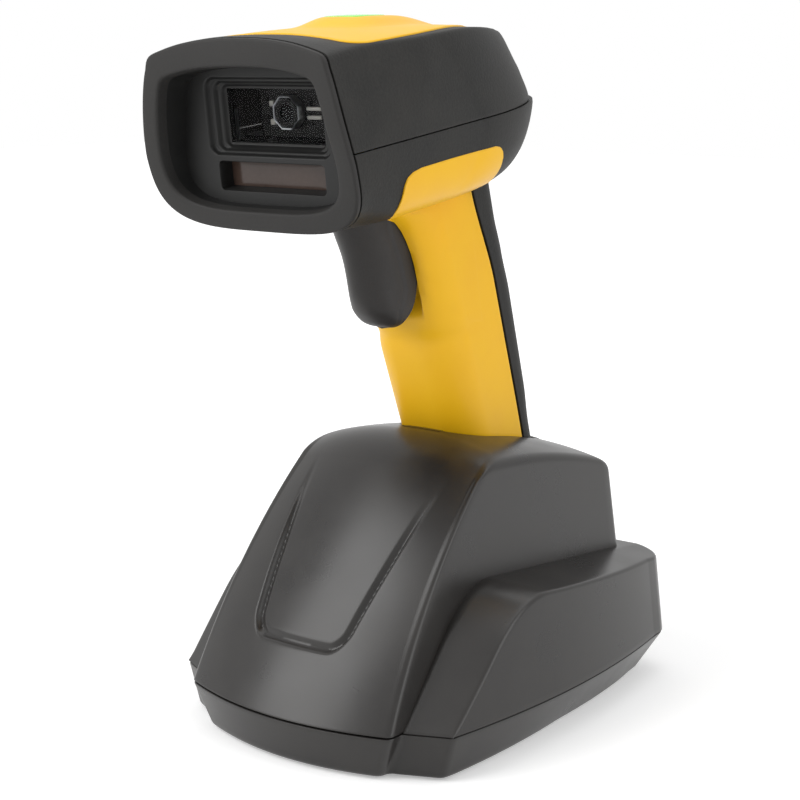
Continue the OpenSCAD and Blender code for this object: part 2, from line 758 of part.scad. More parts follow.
function head_points(t = 0) =
    [for (h = head_rows(t), side = [-1, 1])
        let (end = head_end(h, t), s1 = end - tail_len)
        each concat(
            [for (s = [nose_s(h) - (t > 0 ? 1 : 0), nose_blend_s, s1])
                [side * head_w(s, h, t), s, h]],
            [for (a = [15:15:90])
                [side * head_w(s1, h, t) * pow(cos(a), 0.9), s1 + tail_len * sin(a), h]])];

// The head, t inside its skin: the crown falls away to the back
function crown_h(s) = head_up - pow(s - crown_start_s, 2) / (2 * crown_r);
module head_solid(t) {
    intersection() {
        body_through(head_points(t));
        side_prism(concat([[-20, -head_down - 5], [-20, head_up - t]],
            arc(crown_start_s, head_up - crown_r, crown_r - t, 90, 76, 9),
            [[head_len + 5, -head_down - 5]]), 3 * head_half_w);
    }
}

// Everything above or below a height in the head
module above(h) {
    translate([-head_len, -head_len, h]) cube([2 * head_len, 3 * head_len, head_len]);
}
module below(h) {
    translate([-head_len, -head_len, h - head_len]) cube([2 * head_len, 3 * head_len, head_len]);
}

// Slice of the nose, bowed like the bezel's face, between two distances behind the seam
module nose_slice(from, to) {
    heights = [for (h = [-30:5:40]) h];
    side_prism(concat([for (h = heights) [nose_s(h) + from, h]],
                      [for (i = [len(heights) - 1:-1:0]) [nose_s(heights[i]) + to, heights[i]]]), 120);
}
module nose_prism(inset, from, to, up = head_up, down = head_down, w = head_half_w) {
    translate([0, to + 5, 0]) rotate([90, 0, 0]) linear_extrude(to - from + 10)
        polygon(squircle(w - inset, up - inset, down - inset, nose_square_up, head_square_down));
}

module nose_bezel() {
    color("#3c3b3b") stand() in_head() difference() {
        intersection() {
            nose_prism(0, -bezel_depth, 0);
            nose_slice(-bezel_depth, 0);
        }
        nose_prism(bezel_face, -bezel_depth - 8, 8);
    }
}

// Head screws: x, distance along the head
head_posts = [for (p = [[24.4, 22], [21, 89]], side = [-1, 1]) [side * p.x, p.y]];

module at_head_posts(h) {
    for (p = head_posts) translate([p.x, p.y, h]) children();
}

module head_upper_shell() {
    color("#454343") stand() in_head() difference() {
        intersection() {
            union() {
                difference() {
                    head_solid(0);
                    head_solid(shell_wall);
                }
                intersection() {
                    head_solid(0.5);
                    at_head_posts(0) cylinder(h = head_up, r = head_post_r, $fn = 24);
                }
            }
            above(seam / 2);
            nose_slice(seam, 200);
        }
        at_head_posts(-1) cylinder(h = 10, r = screw_r + pin_fit, $fn = 24);
    }
}

// Side view of the grip's flared top on the head: along the head, height
flare = [[31, -9], [76, -9], [81, -13], [82, -19], [79, -40], [41, -40], [37, -20]];
flare_gap = seam;
function grow_flare(g) = [for (i = [0:6])
    [flare[i].x + (i == 0 || i > 4 ? -g : g), flare[i].y + (i < 2 ? g : 0)]];

module head_lower_shell() {
    color("#3f3d3d") stand() difference() {
        in_head() difference() {
            intersection() {
                union() {
                    difference() {
                        head_solid(0);
                        head_solid(shell_wall);
                    }
                    intersection() {
                        head_solid(0.5);
                        union() {
                            at_head_posts(-head_down)
                                cylinder(h = head_down, r = head_post_r, $fn = 24);
                            at_bracket_posts(-head_down)
                                cylinder(h = head_down + bracket_h, r = 2.6, $fn = 24);
                        }
                    }
                }
                below(-seam / 2);
                nose_slice(seam, 200);
            }
            side_prism(grow_flare(flare_gap), 120);
            at_head_posts(-head_down - 1) cylinder(h = head_down + 2, r = screw_r + 0.2, $fn = 24);
            at_head_posts(-head_down - 1)
                cylinder(h = head_down + 1 + post_screw_h, r = 2.4, $fn = 24);
            at_bracket_posts(bracket_h - 6) cylinder(h = 8, r = screw_r + pin_fit, $fn = 24);
        }
        trigger_slot();
        in_grip() handle_prism(seam, 90, grip_len);
    }
}

// --- Top cover ------------------------------------------------------------------------

cover_s = [cover_front_s, cover_front_s + cover_len];
lens_s = [lens_front_s, lens_front_s + lens_len];

// Plan of the cover: straight sides in front, drawn in towards a round tail
module cover_plan() {
    w = cover_half_w;
    r = cover_r;
    half = concat(arc(w - r, cover_s[0] + r, r, -90, 0, 6), [[w, cover_taper_s]],
                  arc(cover_tail_half_w - r, cover_s[1] - r, r, 20, 90, 6));
    linear_extrude(2 * head_up) polygon(concat(half,
        [for (i = [len(half) - 1:-1:0]) [-half[i].x, half[i].y]]));
}

// The crown skin of the cover with its low mound, grown by g
module cover_crown(g) {
    mid_s = cover_s[0] + cover_len / 2;
    head_solid(-cover_t - g);
    translate([0, mid_s, crown_h(mid_s)]) rotate([-asin((mid_s - crown_start_s) / crown_r), 0, 0])
        body_through([for (ring = [[24, 36, -3], [24, 36, cover_t - 0.2], [13, 24, mound_t + g]],
                           a = [0:15:345]) [ring[0] * cos(a), ring[1] * sin(a), ring[2]]]);
}

module lens_column(gap) {
    translate([0, (lens_s[0] + lens_s[1]) / 2, 0])
        plate(lens_w + 2 * gap, lens_len + 2 * gap, 2 * head_up, lens_r);
}

module top_cover() {
    color("#f2be2c") stand() in_head() difference() {
        intersection() {
            cover_crown(0);
            cover_plan();
            above(12);
        }
        head_solid(-pin_fit);
        lens_column(0.1);
    }
}

module indicator_lens() {
    color("#6ee040") stand() in_head() difference() {
        intersection() {
            cover_crown(0.2);
            lens_column(0);
            above(15);
        }
        head_solid(-2 * pin_fit);
    }
}

// --- Nose interior --------------------------------------------------------------------

frame_back_s = window_s + window_t + 2.5;

module nose_box(w, h, mid_h, from, to, r = 1.5) {
    translate([0, to, mid_h]) rotate([90, 0, 0]) linear_extrude(to - from)
        polygon(round_rect(w, h, r));
}

module window_frame() {
    lip = 1.6;
    color("#262627") stand() in_head() difference() {
        intersection() {
            head_solid(shell_wall + near_gap);
            nose_slice(0.1, 60);
            nose_box(100, 100, 0, -20, frame_back_s);
        }
        nose_prism(bezel_face + 1, -10, window_s - 8);
        nose_box(window_w + 0.2, window_h + 0.2, window_mid_h, -10, window_s + window_t);
        nose_box(window_w - 2 * lip, window_h - 2 * lip, window_mid_h, 0, 40);
        nose_box(strip_w + 0.2, strip_h + 0.2, strip_mid_h, -10, window_s + 0.8);
    }
}

module scan_window() {
    color("#20242a", 0.4) stand() in_head()
        nose_box(window_w, window_h, window_mid_h, window_s, window_s + window_t - pin_fit);
}

module lower_trim_strip() {
    color("#1a1414") stand() in_head()
        nose_box(strip_w, strip_h, strip_mid_h, window_s, window_s + 0.8 - pin_fit);
}

// --- Scan engine ----------------------------------------------------------------------

barrel_out = 3;
engine_s = frame_back_s + 2 + barrel_out;
bracket_t = 1;
bracket_h = engine_mid_h - engine_h / 2 - bracket_t;
bracket_posts = [for (side = [-1, 1]) [side * (engine_w / 2 + 6), engine_s + 10]];

module at_bracket_posts(h) {
    for (p = bracket_posts) translate([p.x, p.y, h]) children();
}

// Folded sheet: a floor screwed to two posts, and two cheeks beside the engine
module engine_bracket() {
    cheek_x = engine_w / 2 + 0.1;
    color("#9a9da0") stand() in_head() difference() {
        union() {
            translate([0, engine_s + engine_d / 2, bracket_h])
                plate(engine_w + 18, engine_d - 1, bracket_t);
            for (side = [0, 1]) mirror([side, 0, 0])
                translate([cheek_x, engine_s + 0.5, bracket_h])
                cube([bracket_t, engine_d - 1, engine_h * 0.7]);
        }
        at_bracket_posts(bracket_h - 1) cylinder(h = 4, r = screw_r + 0.15, $fn = 24);
    }
}

module engine_body() {
    color("#17181a") stand() in_head() difference() {
        translate([-engine_w / 2, engine_s, engine_mid_h - engine_h / 2])
            cube([engine_w, engine_d, engine_h]);
        translate([0, engine_s + 5, engine_mid_h]) rotate([90, 0, 0])
            cylinder(h = 10, r = barrel_r + pin_fit, $fn = 48);
        at_leds(0.05);
    }
}

led = [1.4, 1.2, 2.8];
led_x = engine_w / 2 - 3.6;
module at_leds(grow) {
    for (side = [-1, 1], row = [-1, 1])
        translate([side * led_x - led.x - grow, engine_s - 0.6,
                   engine_mid_h + row * 2.4 - led.z / 2 - grow])
        cube([2 * (led.x + grow), led.y + 2 * grow, led.z + 2 * grow]);
}

module illumination_leds() {
    color("#f4f2e6") stand() in_head() at_leds(0);
}

module lens_barrel() {
    color("#101113") stand() in_head() translate([0, engine_s + 4.9, engine_mid_h])
        rotate([90, 0, 0]) difference() {
        cylinder(h = 4.9 + barrel_out, r = barrel_r, $fn = 48);
        translate([0, 0, 1]) cylinder(h = 20, r = barrel_r - 1.2, $fn = 48);
    }
}

module engine_lens() {
    color("#2a3b55", 0.5) stand() in_head() translate([0, engine_s - barrel_out + 2.2, engine_mid_h])
        rotate([90, 0, 0]) cylinder(h = 1.4, r = barrel_r - 1.2 - pin_fit, $fn = 48);
}

// --- Boards in the head ---------------------------------------------------------------

board_h = 1;
board_posts_at = [for (side = [-1, 1], ds = [5 - board_len / 2, board_len / 2 - 9])
    [side * (board_w / 2 - 4), board_s + ds]];

module at_board_posts(h) {
    for (p = board_posts_at) translate([p.x, p.y, h]) children();
}

module main_board() {
    color("#1f5a3a") stand() in_head() difference() {
        translate([0, board_s, board_h]) plate(board_w, board_len, board_t);
        at_board_posts(0) cylinder(h = 6, r = screw_r + 0.15, $fn = 24);
    }
}

module buzzer() {
    color("#202022") stand() in_head() translate([-14, board_s + 8, board_h + board_t])
        difference() {
        cylinder(h = 3.6, r = buzzer_r, $fn = 48);
        translate([0, 0, 2]) cylinder(h = 3, r = 0.9, $fn = 24);
    }
}

// Pan head screws that point up in the head: bracket, board and housing
module screw_up(head_h, length) {
    translate([0, 0, head_h - 1.6]) cylinder(h = 1.6, r = 2.2, $fn = 32);
    translate([0, 0, head_h - 0.1]) cylinder(h = length + 0.1, r = screw_r, $fn = 24);
}
module screw_down(seat_h, length) {
    translate([0, 0, seat_h]) cylinder(h = 1.4, r = 2, $fn = 32);
    translate([0, 0, seat_h - length]) cylinder(h = length + 0.1, r = screw_r, $fn = 24);
}

module board_screws() {
    color("#a8abae") stand() in_head() {
        at_board_posts(0) screw_down(board_h + board_t, 6);
        at_bracket_posts(0) screw_down(bracket_h + bracket_t, 5.5);
    }
}

post_screw_h = -6;
cover_screw_w = 84;

module housing_screws() {
    color("#a8abae") stand() {
        in_head() at_head_posts(0) screw_up(post_screw_h, head_screw_len);
        in_grip() translate([0, handle_d(cover_screw_w) - 0.6, cover_screw_w])
            rotate([90, 0, 0]) {
            cylinder(h = 1.6, r = 2.2, $fn = 32);
            translate([0, 0, 1.5]) cylinder(h = 16, r = screw_r, $fn = 24);
        }
    }
}

// --- Grip -----------------------------------------------------------------------------

seam_v = handle_d(50) - back_cover_d;
cell_w = foot_cap_h + 1;

module behind_seam(v) {
    translate([-grip_len / 2, v, -grip_len / 4]) cube([grip_len, grip_len, 2 * grip_len]);
}

// Screw post along the handle's depth, from one depth to another
module cover_post(r, from, to) {
    translate([0, to, cover_screw_w]) rotate([90, 0, 0]) cylinder(h = to - from, r = r, $fn = 32);
}

// The trigger passes through this slot in the handle's front and the head's underside
slot_half_w = trigger_w / 2 + trigger_side_gap;
module trigger_slot() {
    side_prism([[20, 119.5], [20, 156], [31, 156], [35, trigger_pin_z + 5],
                [trigger_pin_y + 6, trigger_pin_z + 5], [trigger_pin_y + 9, 150],
                [trigger_pin_y + 21, 134], [trigger_pin_y + 18, 119.5]], 2 * slot_half_w);
}

module at_trigger_pin() {
    translate([0, trigger_pin_y, trigger_pin_z]) children();
}

trigger_board_v = -6;
trigger_board_mid = switch_w + 6;

// Inside of the grip: ribs round the cell, a ledge behind the trigger's board, the pin's bosses
module grip_fittings() {
    pin_boss_r = 3.4;
    ledge_x = trigger_board_w / 2 - 2.5;
    in_grip() {
        for (w = [cell_w + 12, cell_w + cell_len - 12]) difference() {
            handle_prism(-shell_wall + 0.3, w, w + 2);
            translate([0, 0, w - 1]) cylinder(h = 4, r = cell_r + near_gap, $fn = 64);
            behind_seam(-1);
        }
        for (side = [0, 1]) mirror([side, 0, 0])
            translate([ledge_x, trigger_board_v + board_t + pin_fit,
                       trigger_board_mid - trigger_board_len / 2])
            cube([handle_w(trigger_board_mid) - 1 - ledge_x, 2, trigger_board_len]);
        cover_post(3.2, -handle_d(cover_screw_w) + 1, seam_v);
    }
    intersection() {
        in_head() head_solid(0.5);
        union() {
            at_trigger_pin() rod_x(pin_boss_r, 56);
            in_head() at_board_posts(-head_down) cylinder(h = head_down + board_h, r = 2.6, $fn = 24);
        }
    }
}

module grip_shell() {
    color("#f2be2c") stand() difference() {
        union() {
            difference() {
                in_grip() handle_prism(0, foot_cap_h + seam, grip_len);
                in_grip() handle_prism(-shell_wall, foot_cap_h, grip_len + 1);
                in_head() head_solid(shell_wall);
            }
            in_head() intersection() {
                difference() {
                    head_solid(0);
                    head_solid(shell_wall);
                }
                side_prism(flare, 4 * head_half_w);
            }
            grip_fittings();
        }
        in_grip() behind_seam_column();
        trigger_slot();
        at_trigger_pin() rod_x(trigger_pin_r + 0.02, 2 * trigger_pin_half + 0.4);
        in_grip() cover_post(screw_r + pin_fit, -10, 40);
        in_head() at_board_posts(board_h - 6.5) cylinder(h = 8, r = screw_r + pin_fit, $fn = 24);
    }
}

// The back cover's share of the handle, and the passage from the handle into the head
module behind_seam_column() {
    intersection() {
        behind_seam(seam_v);
        handle_prism(seam, -1, grip_len + 20);
    }
    handle_prism(-shell_wall, cover_screw_w + 40, grip_len + 20);
}

module grip_back_cover() {
    color("#454343") stand() difference() {
        union() {
            intersection() {
                difference() {
                    in_grip() handle_prism(0, foot_cap_h + seam, grip_len);
                    in_grip() handle_prism(-shell_wall, foot_cap_h, grip_len + 1);
                    in_head() head_solid(shell_wall);
                }
                in_grip() behind_seam(seam_v + seam);
            }
            in_grip() cover_post(3.2, seam_v + seam, handle_d(cover_screw_w) - 1);
        }
        in_grip() cover_post(screw_r + 0.2, -10, 40);
        in_grip() cover_post(2.4, handle_d(cover_screw_w) - 2.3, 40);
    }
}

cap_plate = 3;
module grip_foot_cap() {
    color("#3b3a3b") stand() in_grip() difference() {
        handle_prism(0, 0, foot_cap_h);
        handle_prism(-shell_wall, cap_plate, foot_cap_h + 1);
        translate([-block_len / 2 - 1, -block_deep / 2 - 1, -1])
            cube([block_len + 2, block_deep + 2, pocket_d + 1]);
        at_pins() pad(0.05);
    }
}

module pad(grow) {
    translate([-1.4 - grow, -2 - grow, pocket_d - (grow > 0 ? 0.1 : 0)])
        cube([2.8 + 2 * grow, 4 + 2 * grow, 0.6 + grow + (grow > 0 ? 0.1 : 0)]);
}

module charge_contacts() {
    color("#d9b45a") stand() in_grip() at_pins() pad(0);
}

module battery_cell() {
    color("#3d6fb4") stand() in_grip() translate([0, 0, cell_w]) {
        cylinder(h = cell_len - 1.5, r = cell_r, $fn = 64);
        cylinder(h = cell_len, r = 3, $fn = 48);
    }
}

// --- Trigger --------------------------------------------------------------------------

trigger_pin_half = 14;
// The finger piece, from its rounded lower end up: z, y of its front and back, narrowing
trigger_rows = [[121.8, 41, 46, 3.5], [122.6, 38.4, 49, 1.8], [124.6, 35.2, 52, 0.6],
                [128, 32.5, 53.2, 0], [132.7, 31.1, 53, 0], [137, 30.5, 52.2, 0],
                [142, 29.2, 50.8, 0], [146, 27.7, 49.4, 0], [150, 25.3, 48.4, 0],
                [154.6, 23, 47.6, 0]];
trigger_nose = 15;
function trigger_ring(row) =
    let (w = trigger_w / 2 - row[3], f = min(trigger_nose, row[2] - row[1] - 1))
    concat([for (a = [180:-15:0]) [w * cos(a), row[1] + f * (1 - sin(a)), row[0]]],
           [[w, row[2], row[0]], [-w, row[2], row[0]]]);

// The rib on the trigger's back that meets the switch: depth of its tip in the grip
rib_tip_v = -15.4;

module trigger() {
    color("#333234") stand() difference() {
        union() {
            loft([for (row = trigger_rows) trigger_ring(row)]);
            side_prism([[36, 154], [trigger_pin_y + 3.6, 154], [trigger_pin_y + 3, trigger_pin_z],
                        [trigger_pin_y - 3, trigger_pin_z], [36, 158.5]], trigger_w);
            at_trigger_pin() rod_x(trigger_hub_r, trigger_w);
            in_grip() translate([-2, rib_tip_v - 6, switch_w - 1.5]) cube([4, 6, 3]);
        }
        at_trigger_pin() rod_x(trigger_pin_r + pin_fit, trigger_w + 2);
    }
}

module trigger_pin() {
    color("#b9bcc0") stand() at_trigger_pin() rod_x(trigger_pin_r, 2 * trigger_pin_half);
}

module trigger_board() {
    color("#1f5a3a") stand() in_grip()
        translate([-trigger_board_w / 2, trigger_board_v, trigger_board_mid - trigger_board_len / 2])
        cube([trigger_board_w, board_t, trigger_board_len]);
}

module trigger_switch() {
    color("#1c1c1e") stand() in_grip() difference() {
        translate([-3.5, trigger_board_v - switch_d, switch_w - 3.5]) cube([7, switch_d, 7]);
        translate([0, trigger_board_v - 0.5, switch_w]) rotate([90, 0, 0])
            cylinder(h = switch_d + 1, r = plunger_r + pin_fit, $fn = 32);
    }
}

module switch_plunger() {
    tip_v = rib_tip_v + near_gap;
    color("#e8e6e0") stand() in_grip() translate([0, tip_v + 4.6, switch_w]) rotate([90, 0, 0])
        cylinder(h = 4.6, r = plunger_r, $fn = 32);
}

// Coil between the trigger's back and its board: a round wire swept along a helix
coil_w = 113;
coil_from = -16.2;
module trigger_spring() {
    n = 12;
    sides = 6;
    len = trigger_board_v - coil_from - 2 * wire_r - 0.1;
    turns = coil_turns * n;
    color("#b9bcc0") stand() in_grip() translate([0, coil_from + wire_r, coil_w])
        rotate([-90, 0, 0]) loft([for (i = [0:turns]) [for (k = [0:sides - 1])
            let (a = 360 * i / n, b = -360 * k / sides, r = coil_r + wire_r * cos(b))
            [r * cos(a), r * sin(a), len * i / turns + wire_r * sin(b)]]]);
}

// --- Lines that draw the nodes --------------------------------------------------------

nose_bezel();
head_upper_shell();
head_lower_shell();
top_cover();
indicator_lens();
grip_shell();
grip_back_cover();
grip_foot_cap();
charge_contacts();
window_frame();
scan_window();
lower_trim_strip();
engine_bracket();
engine_body();
lens_barrel();
engine_lens();
illumination_leds();
main_board();
buzzer();
board_screws();
housing_screws();
battery_cell();
trigger();
trigger_pin();
trigger_spring();
trigger_board();
trigger_switch();
switch_plunger();
cradle_upper_shell();
docking_cup();
cradle_tray();
ballast_plate();
rubber_feet();
cradle_board();
contact_block();
charge_pins();
cable_socket();
tray_screws();
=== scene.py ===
# %% [markdown]
# # A handheld barcode scanner in its charging cradle
# The scanner is a pistol: a head with a scan window in its nose, a yellow handle and a
# trigger. It stands in a cradle that charges it. The solids of all pieces come from the
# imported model, which is loaded first and never changed. This lesson dresses them: most
# outer mouldings are drawn again as smooth surfaces worked out with numpy, because their
# soft corners and sunk panels are what makes plastic look moulded.

# %% Load the fixed frame
import bpy
import numpy as np
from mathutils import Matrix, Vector


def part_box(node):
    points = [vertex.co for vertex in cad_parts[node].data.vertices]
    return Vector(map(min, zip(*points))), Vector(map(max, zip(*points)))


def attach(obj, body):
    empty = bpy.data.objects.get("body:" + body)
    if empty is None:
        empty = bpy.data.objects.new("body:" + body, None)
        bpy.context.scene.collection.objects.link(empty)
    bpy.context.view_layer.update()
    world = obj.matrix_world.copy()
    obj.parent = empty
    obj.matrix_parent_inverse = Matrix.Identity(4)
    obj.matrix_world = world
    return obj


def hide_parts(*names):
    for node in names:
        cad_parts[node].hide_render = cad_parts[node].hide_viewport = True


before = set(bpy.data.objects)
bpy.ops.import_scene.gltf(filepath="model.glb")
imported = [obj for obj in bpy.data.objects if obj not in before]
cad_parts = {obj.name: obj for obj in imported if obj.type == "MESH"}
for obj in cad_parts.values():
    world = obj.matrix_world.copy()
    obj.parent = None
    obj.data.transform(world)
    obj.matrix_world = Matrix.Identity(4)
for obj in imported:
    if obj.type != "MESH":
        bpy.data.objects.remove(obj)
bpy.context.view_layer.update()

# %% [markdown]
# ## Three places to stand
# Every size below is in millimetres, in the construction frame of the cradle: y = 0 at the
# foot of its tongue, z = 0 on the table. The head is pitched 7 degrees and the handle
# leans 19 degrees, so their pieces are worked out in their own straight frames first and
# turned afterwards. That keeps each formula short. The middle of the depth is read from
# the loaded frame, so the scene can't drift away from it.

# %% Frames
BLOCK_BACK_Y = 137.5
MM = 1000.0
MID_Y = BLOCK_BACK_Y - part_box("cradle_tray")[1].y * MM
HEAD_Y, HEAD_Z, HEAD_PITCH = -13.0, 176.0, np.radians(7.0)
GRIP_Y, GRIP_Z, GRIP_LEAN = 103.1, 40.0, np.radians(19.0)


def stacked(*coordinates):
    """Points from coordinates given apart, which are broadcast together and put on the last axis."""
    return np.stack(np.broadcast_arrays(*coordinates), -1)


def in_cradle(points):
    """Construction millimetres to metres in the frame: the middle of the depth is taken off y."""
    return (np.asarray(points, float) - [0.0, MID_Y, 0.0]) / MM


def turned(along, up, angle, y, z):
    """Turn in side view, then a move: y' = y + along cos a - up sin a, z' = z + along sin a + up cos a."""
    return (y + along * np.cos(angle) - up * np.sin(angle), z + along * np.sin(angle) + up * np.cos(angle))


def in_head(points):
    """Head frame: x, distance behind the nose seam s, height over the parting line h."""
    p = np.asarray(points, float)
    return in_cradle(stacked(p[..., 0], *turned(p[..., 1], p[..., 2], HEAD_PITCH, HEAD_Y, HEAD_Z)))


def in_grip(points):
    """Handle frame: x, depth v to the rear, distance w up the handle from its foot."""
    p = np.asarray(points, float)
    return in_cradle(stacked(p[..., 0], *turned(p[..., 1], p[..., 2], GRIP_LEAN, GRIP_Y, GRIP_Z)))


print("middle of the depth: %.3f mm" % MID_Y)

# %% [markdown]
# ## The camera
# A camera in Blender looks along its own -Z. Its place is measured in the construction
# frame, and the angle is given by the direction that it looks along: 37.8 degrees round to
# the right and 11.1 degrees down. A 76.5 mm lens keeps the perspective of a product shot.

# %% Camera
CAMERA_PLACE = [313.3, -349.9, 198.2]
LOOKING = Vector((-0.6015, 0.7752, -0.1929))
camera_data = bpy.data.cameras.new("camera")
camera_data.lens = 76.5
camera_data.sensor_width = 36.0
camera = bpy.data.objects.new("camera", camera_data)
bpy.context.scene.collection.objects.link(camera)
camera.location = in_cradle(CAMERA_PLACE)
camera.rotation_euler = LOOKING.to_track_quat("-Z", "Y").to_euler()
bpy.context.scene.camera = camera
print("camera at", [round(c, 3) for c in camera.location])

# %% [markdown]
# ## Tools for surfaces
# A surface is a grid of points: rows along one direction, columns along the other. One
# function turns grids into a mesh, and one rounds a corner with a parabola. `soft_min` and
# `soft_max` join two slopes with a small fillet, which is how a moulding's edge is drawn
# without any modelling by hand. Each wall then gets a real thickness from Solidify and
# a tiny rounding on its rim from Bevel, because a moulded edge is never quite sharp.

# %% Surface helpers
WELD_REACH, SHARP_DEGREES, RIM_DEGREES = 2e-6, 38.0, 50.0


def smooth_step(low, high, value):
    """0 below low, 1 above high, and 3 t^2 - 2 t^3 between them."""
    t = np.clip((value - low) / (high - low), 0.0, 1.0)
    return t * t * (3.0 - 2.0 * t)


def soft_min(a, b, k):
    """The lower of two heights; where they differ by less than k the corner is a parabola."""
    share = np.maximum(k - np.abs(a - b), 0.0) / k
    return np.minimum(a, b) - share * share * k / 4.0


def soft_max(a, b, k):
    """The higher of two heights, joined by the same parabola."""
    return -soft_min(-a, -b, k)


def parabola(a, corner, b, steps):
    """Rows of points from a to b round a corner: (1-t)^2 a + 2 t (1-t) corner + t^2 b."""
    t = np.linspace(0.0, 1.0, steps).reshape((-1,) + (1,) * a.ndim)
    return (1 - t) ** 2 * a + 2 * t * (1 - t) * corner + t * t * b


def rounded(grid, corners, radii, steps=6):
    """Rounds the rows of a grid at some columns: a parabola starts and ends one radius away."""
    parts, start = [], 0
    for k, radius in zip(corners, np.broadcast_to(radii, len(corners))):
        c = grid[:, k]
        before, after = grid[:, k - 1] - c, grid[:, (k + 1) % grid.shape[1]] - c
        reach_a = np.linalg.norm(before, axis=-1, keepdims=True) + 1e-9
        reach_b = np.linalg.norm(after, axis=-1, keepdims=True) + 1e-9
        a = c + before * np.minimum(1.0, radius / reach_a)
        b = c + after * np.minimum(1.0, radius / reach_b)
        parts += [grid[:, start:k], parabola(a, c, b, steps).transpose(1, 0, 2)]
        start = k + 1
    return np.concatenate(parts + [grid[:, start:]], axis=1)


def lengths(line):
    """Distance along a line at each of its points."""
    return np.concatenate([[0], np.cumsum(np.linalg.norm(np.diff(line, axis=0), axis=-1))])


def along(line, n, closed=False):
    """Even points along a line of (x, y), which is closed first where that is asked for."""
    if closed:
        line = np.concatenate([line, line[:1]])
    length = lengths(line)
    at = np.linspace(0, length[-1], n, endpoint=not closed)
    return stacked(*(np.interp(at, length, line[:, k]) for k in range(2)))


def towards(outline, centre, bearing):
    """Points of a closed outline in the given directions from a centre."""
    around = np.arctan2(outline[:, 1] - centre[1], outline[:, 0] - centre[0])
    order = np.argsort(around)
    x, y = (np.interp(bearing, around[order], outline[order, k], period=2 * np.pi) for k in range(2))
    return stacked(x, y)


def mirrored(grid):
    """The same surface on the other side of x = 0, its columns reversed so that it faces out."""
    return grid[:, ::-1] * [-1.0, 1.0, 1.0]


def mesh_of(name, grids, closed, inside, hollow):
    """One mesh from grids in metres. Face corners are (i, j), (i, j+1), (i+1, j+1), (i+1, j).

    Faces turn away from the point inside, or towards it where the surface is hollow.
    """
    points, quads, base = [], [], 0
    for grid in grids:
        rows, cols = grid.shape[:2]
        index = base + np.arange(rows * cols).reshape(rows, cols)
        if closed:
            index = np.hstack([index, index[:, :1]])
        quad = np.stack([index[:-1, :-1], index[:-1, 1:], index[1:, 1:], index[1:, :-1]], -1)
        flat = grid.reshape(-1, 3)
        corners = flat[quad.reshape(-1, 4) - base]
        normal = np.cross(corners[:, 2] - corners[:, 0], corners[:, 3] - corners[:, 1])
        outward = corners.mean(1) - np.asarray(inside)
        if ((normal * outward).sum() < 0) != hollow:
            quad = quad[..., ::-1]
        points.append(flat)
        quads.append(quad.reshape(-1, 4))
        base += rows * cols
    mesh = bpy.data.meshes.new(name)
    mesh.from_pydata(np.concatenate(points).tolist(), [], np.concatenate(quads).tolist())
    return mesh


def weld(mesh):
    """Merges points that coincide at seams and poles, and keeps edges sharper than an angle."""
    import bmesh
    work = bmesh.new()
    work.from_mesh(mesh)
    bmesh.ops.remove_doubles(work, verts=work.verts, dist=WELD_REACH)
    bmesh.ops.dissolve_degenerate(work, edges=work.edges, dist=1e-7)
    work.to_mesh(mesh)
    work.free()
    mesh.polygons.foreach_set("use_smooth", np.ones(len(mesh.polygons), bool))
    mesh.set_sharp_from_angle(angle=np.radians(SHARP_DEGREES))


def piece(name, place, grids, body, slot, inside, closed=False, hollow=False, wall=0.0, rim=0.0,
          replaces=()):
    """A finished piece: mesh, wall inwards, rounded rim, body, finish and the nodes it replaces.

    place is the frame that the grids and the point inside are given in, such as in_head.
    """
    mesh = mesh_of(name, [place(grid) for grid in grids], closed, place(inside), hollow)
    weld(mesh)
    obj = bpy.data.objects.new(name, mesh)
    bpy.context.scene.collection.objects.link(obj)
    if wall:
        solid = obj.modifiers.new("wall", "SOLIDIFY")
        solid.thickness = wall / MM
        solid.offset = -1.0
    if rim:
        bevel = obj.modifiers.new("rim", "BEVEL")
        bevel.width = rim / MM
        bevel.segments = 2
        bevel.limit_method = "ANGLE"
        bevel.angle_limit = np.radians(RIM_DEGREES)
    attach(obj, body)
    if replaces:
        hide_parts(*replaces)
    obj.data.materials.append(FINISH[slot])
    print("%-22s %6d faces" % (name, len(mesh.polygons)))
    return obj


# %% [markdown]
# ## Finishes
# Each material starts from what the real one is. `linear` turns a written sRGB colour
# into the linear values that the shader wants. `add` puts one node into a material with
# its settings and links, and every finish below is built from it. The patterns read Object
# coordinates, so their size is a real size: the objects stand at the origin in metres.

# %% Material helpers
FINISH = {}


def linear(code):
    """sRGB hex to linear: c / 12.92 below 0.04045, else ((c + 0.055) / 1.055) ^ 2.4."""
    c = np.array([int(code[i:i + 2], 16) for i in (1, 3, 5)]) / 255.0
    return (*np.where(c <= 0.04045, c / 12.92, ((c + 0.055) / 1.055) ** 2.4), 1.0)


def add(material, kind, settings=None, inputs=None):
    """Adds one node. settings are its properties; an input is a value or a socket to link."""
    node = material.node_tree.nodes.new(kind)
    for key, value in (settings or {}).items():
        setattr(node, key, value)
    for key, value in (inputs or {}).items():
        if isinstance(value, bpy.types.NodeSocket):
            material.node_tree.links.new(value, node.inputs[key])
        else:
            node.inputs[key].default_value = value
    return node


def finish(slot, name, settings):
    """A named material for one slot: a Principled shader with its plain settings."""
    material = bpy.data.materials.new(name)
    material.use_nodes = True
    shader = material.node_tree.nodes["Principled BSDF"]
    for key, value in settings.items():
        shader.inputs[key].default_value = value
    FINISH[slot] = material
    return material, shader


def colour_ramp(material, fac, colours, positions=(0.0, 1.0)):
    """A ramp between two sRGB colours, driven by a socket."""
    ramp = add(material, "ShaderNodeValToRGB", {}, {"Fac": fac})
    for stop, colour, position in zip(ramp.color_ramp.elements, colours, positions):
        stop.position = position
        stop.color = linear(colour)
    return ramp.outputs["Color"]


